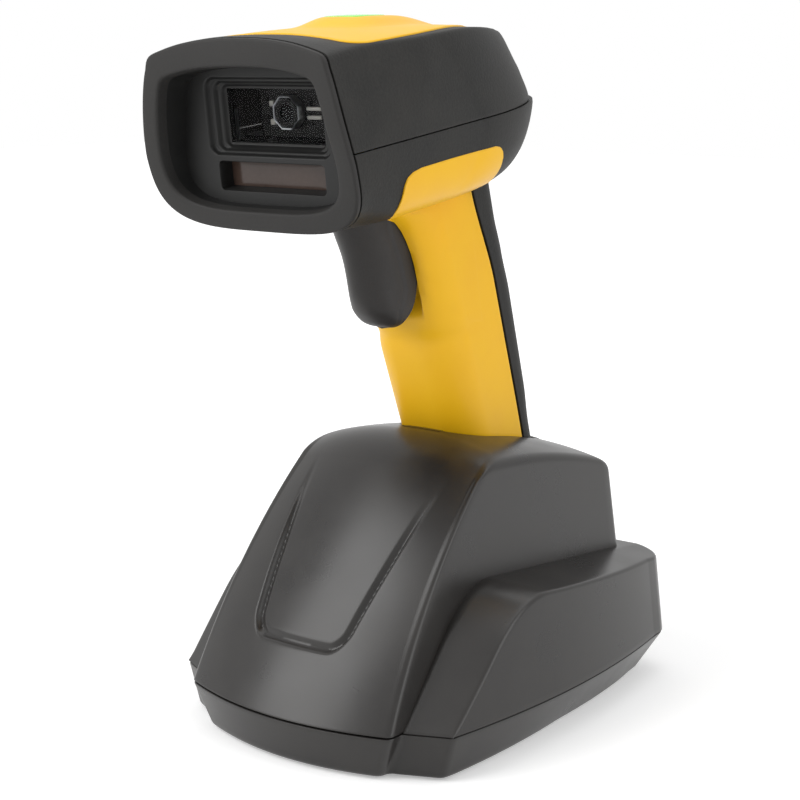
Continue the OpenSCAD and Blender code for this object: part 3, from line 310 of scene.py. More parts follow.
def moulded(slot, name, colours, grain_mm, depth_mm, gloss, **settings):
    """Moulded grain: a fine noise gives the bump, a wide one drifts the colour and the gloss.

    gloss is one roughness, or the two that it drifts between. A setting is an input of the
    Principled shader, with _ for the spaces in its name.
    """
    settings = {key.replace("_", " "): value for key, value in settings.items()}
    material, shader = finish(slot, name, settings)
    place = add(material, "ShaderNodeTexCoord").outputs["Object"]
    fine = add(material, "ShaderNodeTexNoise", {},
               {"Vector": place, "Scale": MM / grain_mm, "Detail": 2.0, "Roughness": 0.6})
    wide = add(material, "ShaderNodeTexNoise", {},
               {"Vector": place, "Scale": 45.0, "Detail": 3.0, "Roughness": 0.55})
    mixed = add(material, "ShaderNodeMath", {"operation": "MULTIPLY_ADD"},
                {0: fine.outputs["Fac"], 1: 0.35, 2: wide.outputs["Fac"]})
    bump = add(material, "ShaderNodeBump", {},
               {"Height": fine.outputs["Fac"], "Strength": 1.0, "Distance": depth_mm / MM})
    links = material.node_tree.links
    links.new(colour_ramp(material, mixed.outputs[0], colours, (0.45, 0.9)), shader.inputs["Base Color"])
    links.new(bump.outputs["Normal"], shader.inputs["Normal"])
    if isinstance(gloss, tuple):
        drift = add(material, "ShaderNodeMapRange", {},
                    {"Value": wide.outputs["Fac"], "From Min": 0.3, "From Max": 0.7,
                     "To Min": gloss[0], "To Max": gloss[1]})
        links.new(drift.outputs["Result"], shader.inputs["Roughness"])
    else:
        shader.inputs["Roughness"].default_value = gloss


# %% [markdown]
# ### Black and yellow mouldings
# The head and the handle's back are ABS with a spark-eroded grain, which scatters light
# and looks dull. The cradle comes from a smoother mould, so it has a broad satin shine. The
# yellow mouldings are the same ABS with a finer grain. A real grain is about 0.1 mm; it is
# drawn at 0.5 mm so that it still shows.

# %% Shell finishes
moulded("black_shell", "black ABS, spark-eroded mould", ("#151514", "#2b2a28"), 0.8, 0.08, (0.5, 0.62),
        IOR=1.46, Specular_IOR_Level=0.25)
moulded("cradle_shell", "black ABS, satin mould", ("#1f1d1c", "#282624"), 0.55, 0.01, (0.26, 0.34),
        Specular_IOR_Level=0.42)
moulded("yellow_shell", "yellow ABS, fine-grained mould", ("#f0b612", "#f3bd1a"), 0.45, 0.007, (0.38, 0.46),
        Specular_IOR_Level=0.32)
moulded("bezel_rubber", "black TPE overmoulding", ("#282726", "#31302f"), 0.5, 0.02, (0.56, 0.66),
        IOR=1.46, Specular_IOR_Level=0.25)
moulded("trigger_plastic", "black ABS, matt mould", ("#2a2827", "#343231"), 0.5, 0.01, (0.38, 0.48),
        IOR=1.46, Specular_IOR_Level=0.25)
moulded("inner_black", "black ABS, hood lining", ("#131313", "#1a1a19"), 0.5, 0.008, (0.42, 0.54),
        IOR=1.46, Specular_IOR_Level=0.3)
moulded("foot_rubber", "black rubber, moulded feet", ("#1b1b1b", "#262625"), 0.6, 0.03, (0.7, 0.8), IOR=1.52)
moulded("white_plastic", "white acetal, turned plunger", ("#dddbd3", "#ebe9e2"), 0.6, 0.004, 0.35, IOR=1.48)
moulded("cell_sleeve", "blue PVC shrink sleeve on a lithium cell", ("#3363a6", "#3f72b8"), 1.0, 0.004,
        (0.25, 0.36))
print("mouldings:", sorted(FINISH))

# %% [markdown]
# ### Windows, lamps and metal
# The scan window is smoked acrylic: it shows what is behind it, a little darkened, and
# mirrors the room. It is made with Alpha and not with transmission, because a thin pane
# hardly bends light and shadows then pass through it. The indicator is a tinted
# polycarbonate cap. The metals get fine brushing from a stretched noise.

# %% Window and metal finishes
moulded("smoked_window", "smoked acrylic, polished", ("#060607", "#0b0b0c"), 2.0, 0.001, 0.04,
        IOR=1.49, Specular_IOR_Level=0.12, Alpha=0.22)
moulded("dark_strip", "dark tinted acrylic, polished", ("#3b2e28", "#483a33"), 1.2, 0.003, (0.1, 0.18),
        IOR=1.49, Specular_IOR_Level=0.25)
moulded("green_lens", "green polycarbonate, polished cap", ("#5fdc33", "#78ee4b"), 1.0, 0.003, 0.18,
        IOR=1.58)
moulded("lens_glass", "coated optical glass", ("#050609", "#0a0d14"), 1.5, 0.0005, 0.05,
        IOR=1.6, Specular_IOR_Level=0.12)
moulded("white_led", "white LED in a ceramic package", ("#e9e7dc", "#f8f6ee"), 0.8, 0.004, 0.3)
moulded("circuit_board", "green solder mask on glass fibre", ("#1c5034", "#27643f"), 0.8, 0.006, (0.3, 0.42))


def metal(slot, name, colours, roughness, stretch):
    """Bare metal: the noise is drawn out along one axis, as brushing or rolling leaves it."""
    material, shader = finish(slot, name, {"Metallic": 1.0, "Roughness": roughness})
    place = add(material, "ShaderNodeTexCoord").outputs["Object"]
    drawn = add(material, "ShaderNodeMapping", {}, {"Vector": place, "Scale": stretch})
    lines = add(material, "ShaderNodeTexNoise", {}, {"Vector": drawn.outputs[0], "Scale": 1800.0})
    bump = add(material, "ShaderNodeBump", {}, {"Height": lines.outputs["Fac"], "Distance": 2e-6})
    links = material.node_tree.links
    links.new(colour_ramp(material, lines.outputs["Fac"], colours), shader.inputs["Base Color"])
    links.new(bump.outputs["Normal"], shader.inputs["Normal"])


metal("sheet_steel", "steel sheet, black oxide", ("#0e0f10", "#17181a"), 0.5, (0.15, 1.0, 1.0))
metal("plated_steel", "zinc-plated steel", ("#9b9ea2", "#c3c6c9"), 0.3, (1.0, 1.0, 1.0))
metal("gold_contact", "gold-plated brass", ("#c79c3c", "#e6c264"), 0.25, (1.0, 1.0, 1.0))
print("all finishes:", len(FINISH))

# %% [markdown]
# ## The cradle's tower
# The tower is one moulding: a bowed tongue in front, drafted side walls, and a crowned top
# with the opening for the handle. It could be a box with bevels, but the tongue, the crest
# and the crown are all bowed, so a bevel would run into itself. Here each column of the
# grid goes from the opening's lip out over the crown, round the edge and down a wall.

# %% Tower formulas
TRAY_H = 14.6
TONGUE_HALF_W, TOWER_DRAFT = 38.4, np.radians(3.8)
TONGUE_R, TONGUE_BULGE, TONGUE_TOP_Z, FOOT_ANGLE = 192.0, 7.9, 77.0, np.radians(64.7)
TONGUE_C = (TONGUE_R * np.sin(FOOT_ANGLE), TRAY_H - TONGUE_R * np.cos(FOOT_ANGLE))
CREST_Y, CREST_Z, TOP_R, CROWN_BULGE = 52.0, 82.0, 225.0, 5.6
TOWER_BACK_Y, BACK_DRAFT, BACK_BULGE, BACK_R = 125.0, np.radians(8.0), 2.0, 7.0
BLOCK_TOP_Z = 50.0


def tower_w(z):
    """Half width of the tower: the side walls lean in by their draft."""
    return TONGUE_HALF_W - (z - TRAY_H) * np.tan(TOWER_DRAFT)


def tongue_y(z):
    """Side edge of the tongue in side view: a circle."""
    return TONGUE_C[0] - np.sqrt(TONGUE_R ** 2 - (z - TONGUE_C[1]) ** 2)


def tongue(u, z):
    """The tongue: from its side edge each row is pushed out along the surface by a parabola in u."""
    f = (z - TRAY_H) / (TONGUE_TOP_Z - TRAY_H)
    a = np.arcsin((z - TONGUE_C[1]) / TONGUE_R)
    b = TONGUE_BULGE * (1 - 0.25 * f) * (1 - u * u)
    return stacked(u * tower_w(z), tongue_y(z) + (f - 1 - f * np.cos(a)) * b, z + f * np.sin(a) * b)


def tower_edge_z(y):
    """Height of the tower's side edges: a wide circle in side view."""
    return CREST_Z - TOP_R + np.sqrt(TOP_R ** 2 - (y - CREST_Y) ** 2)


def tower_rear_y(z):
    """The back wall leans forward by its draft."""
    return TOWER_BACK_Y - (z - BLOCK_TOP_Z) * np.tan(BACK_DRAFT)


REAR_TOP_Z = CREST_Z - 10
TOP_START_Y, TOP_END_Y = CREST_Y + 8, tower_rear_y(REAR_TOP_Z) - BACK_R


def crown_z(x, y):
    """The crowned top: side edge height plus a bulge that falls off with |u|^2.4 and to the back."""
    edge = tower_edge_z(y)
    u = np.clip(np.abs(x) / tower_w(edge), 0, 1)
    share = np.clip((y - TOP_START_Y) / (TOP_END_Y - TOP_START_Y), 0, 1)
    return edge + CROWN_BULGE * (1 - 0.35 * share) * (1 - u ** 2.4)


print("crown at the middle of the crest: %.1f mm" % crown_z(0.0, 56.0))

# %% [markdown]
# The handle's outline is needed twice, for the handle and for the opening that it stands
# in, so it comes next. It is a rectangle with wider corners in front than at the back,
# and it grows a little on its way up.

# %% Handle outline
GRIP_FRONT_R, GRIP_BACK_R, BACK_COVER_D = 11.0, 8.0, 11.0
GRIP_HALF_W, GRIP_HALF_D, GRIP_GROWTH_W, GRIP_GROWTH_D = 15.2, 17.0, 0.012, 0.0316
CROWN_W, OPENING_GAP = 47.0, 0.8


def grip_w(w):
    """Half width of the handle at height w."""
    return GRIP_HALF_W + GRIP_GROWTH_W * w


def grip_d(w):
    """Half depth of the handle at height w."""
    return GRIP_HALF_D + GRIP_GROWTH_D * w


def corner_arc(cx, cy, r, start, end, n):
    """Points on a circle from one angle to another, in degrees."""
    a = np.radians(np.linspace(start, end, n))
    return stacked(cx + r * np.cos(a), cy + r * np.sin(a))


def box_outline(half_x, half_y, r, n):
    """Rounded rectangle about the origin, n points to a corner."""
    return np.concatenate([corner_arc(i * (half_x - r), j * (half_y - r), r, start, start + 90, n)
                           for i, j, start in ((1, 1, 0), (-1, 1, 90), (-1, -1, 180), (1, -1, 270))])


def grip_outline(hw, hd, rf, rb, n=14):
    """Closed outline (x, v): right side first, round the back, down the left, round the front."""
    return np.concatenate([
        stacked(hw, np.linspace(-hd + rf, hd - rb, 10)),
        corner_arc(hw - rb, hd - rb, rb, 0, 90, n)[1:],
        corner_arc(-hw + rb, hd - rb, rb, 90, 180, n),
        stacked(-hw, np.linspace(hd - rb, -hd + rf, 10))[1:],
        corner_arc(-hw + rf, -hd + rf, rf, 180, 270, n)[1:],
        corner_arc(hw - rf, -hd + rf, rf, 270, 360, n)[:-1]])


def opening_edge(gap):
    """The handle's outline, grown by a gap and slid up the handle until it lies on the crown."""
    w = CROWN_W
    x, v = grip_outline(grip_w(w) + gap, grip_d(w) + gap, GRIP_FRONT_R + gap, GRIP_BACK_R + gap).T
    for _ in range(12):
        y, z = turned(v, w, GRIP_LEAN, GRIP_Y, GRIP_Z)
        w = w + (crown_z(x, y) - z)
    return stacked(x, y, z)


OPENING = opening_edge(OPENING_GAP)
print("opening, y %.1f to %.1f mm" % (OPENING[:, 1].min(), OPENING[:, 1].max()))

# %% [markdown]
# The panel in the tongue is a U that widens upwards, with a groove round it. The groove
# grows from nothing at the crest to 2 mm deep, and the panel inside it lies 1 mm low.
# Both are pressed into the grid by the signed distance to the U, which is negative inside.
# The outer wall of the groove is 1.3 mm wide in plan and the inner one 1.5 mm.

# %% Sunk panel
PANEL_LOW, PANEL_HIGH, PANEL_HALF_W, PANEL_R, PANEL_DEPTH = 33.0, 79.0, 17.9, 6.5, 2.0
PANEL_SPREAD, SPREAD_START, OUTER_WALL, INNER_WALL, INNER_START = 8.4, 3.0, 1.3, 1.5, 1.6


def rounded_distance(qx, qy, r):
    """Signed distance to a rounded corner from two distances past the centre of its arc."""
    return np.minimum(np.maximum(qx, qy), 0) + np.hypot(np.maximum(qx, 0), np.maximum(qy, 0)) - r


def panel_distance(x, z):
    """Signed distance to a U whose half width grows on its way up."""
    start = PANEL_LOW + SPREAD_START
    half = PANEL_HALF_W + PANEL_SPREAD * np.clip((z - start) / (PANEL_HIGH - start), 0, 1.1)
    return rounded_distance(np.abs(x) - (half - PANEL_R), PANEL_LOW + PANEL_R - z, PANEL_R)


def soft_ramp(t, e=0.1):
    """A straight ramp from 0 to 1 whose two corners are hyperbolas of size e."""
    return 0.5 * (np.sqrt(t * t + e * e) - np.sqrt((t - 1) ** 2 + e * e) + 1)


def sink_panel(p):
    """Pushes points of the tongue inwards: down the outer wall, over the floor, back up to the panel."""
    depth = smooth_step(PANEL_HIGH + 1.0, PANEL_HIGH - 26.0, p[..., 2]) * PANEL_DEPTH
    inside = -panel_distance(p[..., 0], p[..., 2])
    fall = soft_ramp(inside / OUTER_WALL, 0.2)
    push = depth * (fall - 0.5 * soft_ramp((inside - INNER_START) / INNER_WALL, 0.2))
    return p + stacked(0.0, 0.8 * push, -0.6 * push)


# %% Tower grid
EDGE_R, TOP_INSET, BACK_EDGE_SHARE, EDGE_STEPS = 2.4, 2.6, 3.0 / 34, 9
CREST_EDGE_Y, CREST_BOW, FRONT_CORNER_R, REAR_CORNER_R, LIP_ROUND, LIP_DEPTH = 53.3, 2.4, 1.7, 4.5, 0.8, 2.2
u_front = np.linspace(-1 + EDGE_R / TONGUE_HALF_W, 1 - EDGE_R / TONGUE_HALF_W, 181)
v_side = np.linspace(0.03, 0.97, 32)
u_back = np.linspace(1 - BACK_EDGE_SHARE, -1 + BACK_EDGE_SHARE, 33)
lift = np.linspace(0.004, 1.0, 124)[:, None]


def over_edge(wall, corner, top):
    """The rows of a wall, then those of the rounded edge that leads on to the crown."""
    return np.concatenate([wall, parabola(wall[-1], corner, top, EDGE_STEPS)[1:]])


def on_tower(x, y):
    """Points of the crown over places of its plan."""
    return stacked(x, y, crown_z(x, y))


def front_columns(u):
    """Up the tongue, round the crest, on to the crown."""
    wall = sink_panel(tongue(u, TRAY_H + lift * (TONGUE_TOP_Z - TRAY_H)))
    crest = on_tower(u * tower_w(CREST_Z), CREST_EDGE_Y - CREST_BOW * (1 - u * u))
    return over_edge(wall, crest, on_tower(u * (tower_w(CREST_Z) - TOP_INSET), TOP_START_Y))


def side_columns(v, side):
    """Up a side wall, round its edge, on to the crown. v runs from the tongue to the back."""
    edge = np.full_like(v, 80.0)
    for _ in range(8):
        edge = tower_edge_z(tongue_y(edge) * (1 - v) + tower_rear_y(edge) * v)
    z = TRAY_H + lift * (edge - EDGE_R - TRAY_H)
    wall = stacked(side * tower_w(z), tongue_y(z) * (1 - v) + tower_rear_y(z) * v, z)
    corner = stacked(side * tower_w(edge), tongue_y(edge) * (1 - v) + tower_rear_y(edge) * v, edge + 0.2)
    top = on_tower(side * (tower_w(edge) - TOP_INSET), TOP_START_Y + v * (TOP_END_Y - TOP_START_Y))
    return over_edge(wall, corner, top)


def back_columns(u):
    """Up the back wall, round its edge, on to the crown."""
    bulge = BACK_BULGE * (1 - u * u)
    corner = on_tower(u * tower_w(REAR_TOP_Z), tower_rear_y(REAR_TOP_Z) + bulge)
    z = TRAY_H + lift * (corner[:, 2] - BACK_R - TRAY_H)
    wall = stacked(u * tower_w(z), tower_rear_y(z) + bulge, z)
    return over_edge(wall, corner, on_tower(u * (tower_w(REAR_TOP_Z) - TOP_INSET), TOP_END_Y))


def corner_column(columns, side, v):
    """The sharp corner between two walls, which `rounded` then softens."""
    a, b = columns(np.array([side])), side_columns(np.array([v]), side)
    return stacked(b[..., 0], a[..., 1] if v < 0.5 else b[..., 1], 0.5 * (a[..., 2] + b[..., 2]))


blocks = [front_columns(u_front), corner_column(front_columns, 1.0, 0.0),
          side_columns(v_side, 1.0), corner_column(back_columns, 1.0, 1.0),
          back_columns(u_back), corner_column(back_columns, -1.0, 1.0),
          side_columns(v_side[::-1], -1.0), corner_column(front_columns, -1.0, 0.0)]
counts = np.cumsum([b.shape[1] for b in blocks])
corner_radii = [FRONT_CORNER_R, REAR_CORNER_R, REAR_CORNER_R, FRONT_CORNER_R]
tower = rounded(np.concatenate(blocks, axis=1), counts[::2], corner_radii, 7)

# Over the crown to the opening: each column heads for the opening's middle
rim_points = tower[-1]
centre = (0.0, 0.5 * (OPENING[:, 1].min() + OPENING[:, 1].max()))
lip = towards(OPENING, centre, np.arctan2(rim_points[:, 1] - centre[1], rim_points[:, 0]))
share = np.linspace(0, 1, 10)[1:-1, None, None]
plan = rim_points[:, :2] * (1 - share) + lip * share
crown = on_tower(plan[..., 0], plan[..., 1])
lip = on_tower(lip[:, 0], lip[:, 1])
down = np.array([0.0, np.sin(GRIP_LEAN), -np.cos(GRIP_LEAN)])
inward = (crown[-1] - lip) / np.linalg.norm(crown[-1] - lip, axis=-1, keepdims=True)
edge = parabola(lip + LIP_ROUND * inward, lip, lip + LIP_ROUND * down, 5)
tower = np.concatenate([tower, crown, edge, (lip + LIP_DEPTH * down)[None]])
piece("cradle_tower", in_cradle, [tower], "cradle", "cradle_shell", [0, 85, 30], closed=True, wall=1.8,
      rim=0.3, replaces=["cradle_upper_shell"])

# %% [markdown]
# ## The cradle's wings
# The block behind and beside the tongue has a sloping front face that is swept back, a
# top that falls to the back and to the sides, bowed walls and round rear corners. Its top is
# one formula: the lower of the front slope and the flat top, joined by a fillet. The rows
# of the grid run from inside the tower out to the wall and down it.

# %% Wing formulas
BLOCK_DRAFT, WING_SLOPE, WING_SWEEP = np.radians(5.0), np.radians(47.0), np.radians(25.0)
BACK_FALL, SIDE_FALL, WING_FILLET = np.radians(5.5), np.radians(7.0), 15.0
WING_FRONT_Y, BLOCK_R, FOOT_Y, WING_INNER_X, WING_INNER_Y, WING_EDGE_R = 5.6, 13.0, 11.75, 28.0, 118.0, 1.2
BLOCK_HALF_W, BLOCK_BOW_Y, BLOCK_BOW = 57.0, 70.0, 620.0


def block_w(y, z):
    """Half width of the block: a parabola in plan, (y - BLOCK_BOW_Y)^2 / BLOCK_BOW, and the draft."""
    return BLOCK_HALF_W - (y - BLOCK_BOW_Y) ** 2 / BLOCK_BOW - (z - TRAY_H) * np.tan(BLOCK_DRAFT)


def block_back(z):
    """The back wall, drafted."""
    return BLOCK_BACK_Y - (z - TRAY_H) * np.tan(BLOCK_DRAFT)


def block_top(x, y):
    """The lower of the wing's slope and the falling top, with a wide fillet between them."""
    reach = np.maximum(0, np.abs(x) - TONGUE_HALF_W)
    flat = BLOCK_TOP_Z - np.maximum(0, y - TONGUE_HALF_W) * np.tan(BACK_FALL) - reach * np.tan(SIDE_FALL)
    slope = TRAY_H + (y - WING_FRONT_Y - reach * np.tan(WING_SWEEP)) * np.tan(WING_SLOPE)
    return soft_min(flat, slope, WING_FILLET)


def block_outline(v, z):
    """Plan of the wall: v 0-1 along the side, 1-2 round the corner, 2-3 along the back."""
    back = block_back(z)
    cy = back - BLOCK_R
    cx = block_w(cy, z) - BLOCK_R + 0.2
    side_y = FOOT_Y + np.clip(v, 0, 1) * (cy - FOOT_Y)
    a = np.radians(10.0 + 80.0 * np.clip(v - 1, 0, 1))
    x = np.where(v < 1, block_w(side_y, z), cx + BLOCK_R * np.cos(a))
    y = np.where(v < 1, side_y, cy + BLOCK_R * np.sin(a))
    k = np.clip(v - 2, 0, 1)
    return np.where(v < 2, x, cx * (1 - k)), np.where(v < 2, y, back)


v = np.concatenate([np.linspace(0, 1, 90) ** 1.1, np.linspace(1, 2, 16)[1:], np.linspace(2, 3, 24)[1:]])
edge_z = np.full_like(v, 40.0)
for _ in range(12):
    ex, ey = block_outline(v, edge_z)
    edge_z = np.maximum(block_top(ex, ey), TRAY_H + 0.1)
inner_x = np.where(v < 2, WING_INNER_X, WING_INNER_X * (3 - np.minimum(v, 3)))
inner_y = WING_FRONT_Y + np.clip(v, 0, 1) * (WING_INNER_Y - WING_FRONT_Y)
radius = np.minimum(WING_EDGE_R, (edge_z - TRAY_H) * 0.5)[:, None]
out = stacked(ex - inner_x, ey - inner_y)
share = np.linspace(0, 1, 26) * (1 - radius / np.linalg.norm(out, axis=-1, keepdims=True))
across_x = inner_x[:, None] + out[:, :1] * share
across_y = inner_y[:, None] + out[:, 1:] * share
foot = WING_FRONT_Y + np.maximum(0, across_x - TONGUE_HALF_W) * np.tan(WING_SWEEP)
across_y = across_y + (foot - across_y[:1]) * np.clip(1 - v, 0, 1)[:, None]
top = stacked(across_x, across_y, block_top(across_x, across_y))
drop_start = edge_z[:, None] - radius
drop = drop_start - (drop_start - TRAY_H - 0.02) * np.linspace(0, 1, 16)
wall = stacked(*block_outline(v[:, None], drop), drop)
edge = parabola(top[:, -1], stacked(ex, ey, edge_z), wall[:, 0], 8).transpose(1, 0, 2)
wing = np.concatenate([top[:, :-1], edge, wall[:, 1:]], axis=1)
piece("cradle_wings", in_cradle, [wing, mirrored(wing)], "cradle", "cradle_shell", [0, 75, 20],
      wall=1.6, rim=0.3)

# %% [markdown]
# ## The tray
# The tray closes the cradle from below and is tucked in under the parting line. Its wall is
# a ruled surface: an outline at the parting line and one at the underside have the same
# number of points, and rows run between them. The lower edge is rounded, and a fine
# gap of 0.35 mm is left at the parting line, so that the seam draws its own shadow.

# %% Tray
TRAY_TOP_Z, FLOOR_Z, TUCK, BACK_TUCK = TRAY_H - 0.35, 0.8, 8.0, 5.0
LOW_HALF_W, LOW_BULGE, LOW_FRONT_Y, LOW_WING_Y = 32.8, 6.4, 2.4, 6.2
wing_w = block_w(12.0, TRAY_H)
reach = (wing_w - TONGUE_HALF_W) * np.tan(WING_SWEEP)
u = np.linspace(0, 1 - 2.2 / TONGUE_HALF_W, 30)
k = np.linspace(0.08, 0.9, 8)
side_x, side_y = block_outline(np.linspace(0, 2, 40), TRAY_H)
back_x = np.linspace(side_x[-1], 0, 16)[1:]
tuck = np.minimum(1, (side_y + 40) / 110) * TUCK
tuck_back = np.maximum(0, side_y - 110) / 27.5 * BACK_TUCK
upper = np.concatenate([
    stacked(u * TONGUE_HALF_W, -TONGUE_BULGE * (1 - u * u)),
    [[TONGUE_HALF_W, y] for y in (0.0, 2.2, WING_FRONT_Y)],
    stacked(TONGUE_HALF_W + k * (wing_w - TONGUE_HALF_W), WING_FRONT_Y + k * reach),
    [[wing_w, WING_FRONT_Y + reach]], stacked(side_x, side_y)[1:], stacked(back_x, BLOCK_BACK_Y)])
lower = np.concatenate([
    stacked(u * LOW_HALF_W, LOW_FRONT_Y - LOW_BULGE * (1 - u * u)),
    [[LOW_HALF_W, LOW_FRONT_Y], [32.9, 4.2], [33.4, LOW_WING_Y]],
    stacked(34.4 + k * (wing_w - 4 - 34.4), LOW_WING_Y + k * reach),
    [[wing_w - 4, LOW_WING_Y + reach]], stacked(side_x - tuck, side_y - tuck_back)[1:],
    stacked(back_x * (side_x[-1] - TUCK) / side_x[-1], BLOCK_BACK_Y - BACK_TUCK)])
both = np.stack([stacked(*upper.T, TRAY_TOP_Z), stacked(*lower.T, FLOOR_Z)])
both = rounded(both, [30, 32, 41], 2.0, 6)
top, foot = both
middle = np.array([0.0, 60.0, FLOOR_Z])
lip_ring = top + ([0.0, 60.0, TRAY_TOP_Z] - top) * 0.03
slant = (top - foot) / np.linalg.norm(top - foot, axis=-1, keepdims=True)
steps = np.linspace(0, 1, 12)[:, None, None]
rows = [lip_ring[None], parabola(top + (lip_ring - top) * 0.3, top, top - 0.5 * slant, 4)[:-1],
        (top - 0.5 * slant) * (1 - steps) + (foot + 1.6 * slant) * steps,
        parabola(foot + 1.6 * slant, foot, middle + (foot - middle) * 0.975, 6)[1:]]
rows += [(middle + (foot - middle) * share)[None] for share in (0.9, 0.7, 0.5, 0.3, 0.1, 0.0)]
tray = np.concatenate(rows)
piece("tray_shell", in_cradle, [tray, mirrored(tray)], "cradle", "cradle_shell", [0, 65, 8],
      replaces=["cradle_tray"])

# %% [markdown]
# ## The head
# The head is two shells with a straight seam between them. Its skin is a stack of outlines,
# one at each height: straight flanks behind the nose, then half an ellipse round the
# tail. The width at a height follows a superellipse, |x/w|^p + |h/H|^p = 1. Its p is
# 3.8 at the nose and 5.2 behind it below the seam, and 7 to 8 above the seam, so that the
# section gets squarer. The crown is cut by an arched roof, highest at the nose, and
# `soft_min` rounds the crease that this cut leaves.

# %% Head formulas
HEAD_UP, HEAD_DOWN, HEAD_LEN = 30.4, 23.0, 117.0
NOSE_HALF_W, LOW_P, HIGH_P, TAIL_LEN, TAIL_R, SHELL_START = 37.4, 3.8, 7.0, 55.0, 21.4, 0.4
NOSE_BOW_H, NOSE_BOW_R, ROOF_START, ROOF_R, CREASE_H, CREASE_X = 16.0, 116.0, 8.0, 520.0, 24.4, 34.0
FLANK_TAPER, TAPER_LEN, TAIL_LEAN_H, TAIL_LEAN = 3.4, 62.0, 12.0, 0.68


def nose_s(h):
    """The seam behind the bezel is bowed in side view: a parabola about the height NOSE_BOW_H."""
    return ((h - NOSE_BOW_H) ** 2 - NOSE_BOW_H ** 2) / (2 * NOSE_BOW_R)


def roof(x, s):
    """The crown: bowed with radius ROOF_R behind a raised nose, and arched down to the crease."""
    dip = 1.4 * smooth_step(3, 15, s) + 0.8 * smooth_step(55, 85, s)
    middle_h = HEAD_UP - np.maximum(s - ROOF_START, 0) ** 2 / (2 * ROOF_R) - dip
    crease_h = CREASE_H + 1.2 * smooth_step(0, 16, s) - np.maximum(s - 50.0, 0) ** 2 / 400.0
    return middle_h - (middle_h - crease_h) * (x / CREASE_X) ** 2


def crease_k(s):
    """Size of the fillet at the crease."""
    return 2.4 - 1.0 * smooth_step(2, 20, s)


def head_shape(s, h):
    """Width and exponent of the section; the flanks lean in by 12 % at the nose, less behind it."""
    w = NOSE_HALF_W - FLANK_TAPER * np.clip(s / TAPER_LEN, 0, 1)
    lean = 1 - np.clip((h + 3) / 25, 0, 1) ** 1.3 * (0.12 - 0.09 * smooth_step(2, 40, s))
    p = np.where(h < 0, LOW_P + 1.4 * smooth_step(5, 24, s), HIGH_P + 1.0 * smooth_step(0, 20, s))
    return w * lean, p


def head_half(s, h):
    """Half width of the head at a distance and height: w (1 - (|h| / H)^p)^(1/p)."""
    w, p = head_shape(s, h)
    limit = np.where(h < 0, HEAD_DOWN, HEAD_UP)
    return w * np.maximum(0, 1 - np.minimum(np.abs(h) / limit, 1) ** p) ** (1 / p)


def head_end(h):
    """Where the tail ends: a circle in side view, then a straight lean, with the top shell set in."""
    low = np.minimum(h, TAIL_LEAN_H)
    circle = np.sqrt(np.maximum(0, TAIL_R ** 2 - (low + 2) ** 2))
    end = HEAD_LEN - TAIL_R + circle - np.maximum(0, h - TAIL_LEAN_H) * TAIL_LEAN
    set_in = np.where(h > 0, 2.0 + 1.4 * smooth_step(0, 8, h) + 1.4 * smooth_step(18, 27, h), 0.0)
    return end - set_in - 0.34 * np.maximum(0, -1.0 - h)


def tail_share(s, end_s):
    """Share of the half width that is left in the tail, from the cosine of an ellipse."""
    return np.sqrt(np.clip(1 - (np.maximum(s - end_s, 0) / TAIL_LEN) ** 2, 0, 1)) ** 0.9


def head_skin(h):
    """Rows at heights h, columns from the right of the nose round the tail to its left."""
    h = h[:, None]
    start = nose_s(h) + SHELL_START
    s1 = head_end(h) - TAIL_LEN
    flank_s = start + (s1 - start) * np.linspace(0, 1, 64) ** 1.25
    a = np.radians(np.linspace(0, 90, 44))[1:]
    s = np.concatenate([flank_s, s1 + TAIL_LEN * np.sin(a)], 1)
    x = np.concatenate([head_half(flank_s, h), head_half(s1, h) * np.cos(a) ** 0.9], 1)
    height = np.where(h > 0, soft_min(np.broadcast_to(h, s.shape), roof(x, s), crease_k(s)), h)
    right = stacked(x, s, height)
    return np.concatenate([right, mirrored(right)[:, 1:]], 1)


def rows_to_top(limit, p, turn, n_side, n_top, first):
    """Heights of the rows: even up the flank, then spaced so that the widths are even."""
    side = np.linspace(first, turn, n_side)
    width = (1 - (turn / limit) ** p) ** (1 / p)
    c = np.linspace(width, 0, n_top)[1:]
    return np.concatenate([side, limit * (1 - c ** p) ** (1 / p)])


h_up = rows_to_top(HEAD_UP, 7.0, 22.0, 24, 76, 0.18)
h_down = -rows_to_top(HEAD_DOWN, 3.2, 12.0, 14, 46, 0.18)
for name, heights, node in (("head_top_shell", h_up, "head_upper_shell"),
                            ("head_belly_shell", h_down, "head_lower_shell")):
    piece(name, in_head, [head_skin(heights)], "scanner", "black_shell", [0, 55, 0], wall=1.6, rim=0.35,
          replaces=[node])

# %% [markdown]
# ## The bezel and the hood
# The bezel is a soft ring on the nose. Its section is a short path, from the seam over
# the face to the opening, that is carried round a superellipse; both edges of the face are
# rounded. Behind it the hood narrows to the window's frame.

# %% Bezel


def nose_ring(inset, ds, drop, turn):
    """Outline of the nose under its arched roof, drawn in by inset and moved ds along the head."""
    c, s = np.cos(turn), np.sin(turn)
    p = np.where(s < 0, LOW_P, HIGH_P)
    limit = np.where(s < 0, HEAD_DOWN, HEAD_UP)
    h = (limit - inset - drop * np.maximum(s, 0) ** 2) * np.sign(s) * np.abs(s) ** (2 / p)
    x = (head_shape(0.0, h)[0] - inset) * np.sign(c) * np.abs(c) ** (2 / p)
    h = np.where(s > 0, soft_min(h, roof(x, 0.0) - inset - drop, 2.4), h)
    return stacked(x, nose_s(h) + ds, h)


def even_turns(n):
    """Angles that space the points of the nose's outline evenly along its length."""
    dense = np.radians(np.linspace(0, 360, 2881))
    steps = lengths(nose_ring(0.0, 0.0, 0.0, dense))
    return np.interp(np.linspace(0, steps[-1], n, endpoint=False), steps, dense)


TURNS = even_turns(220)


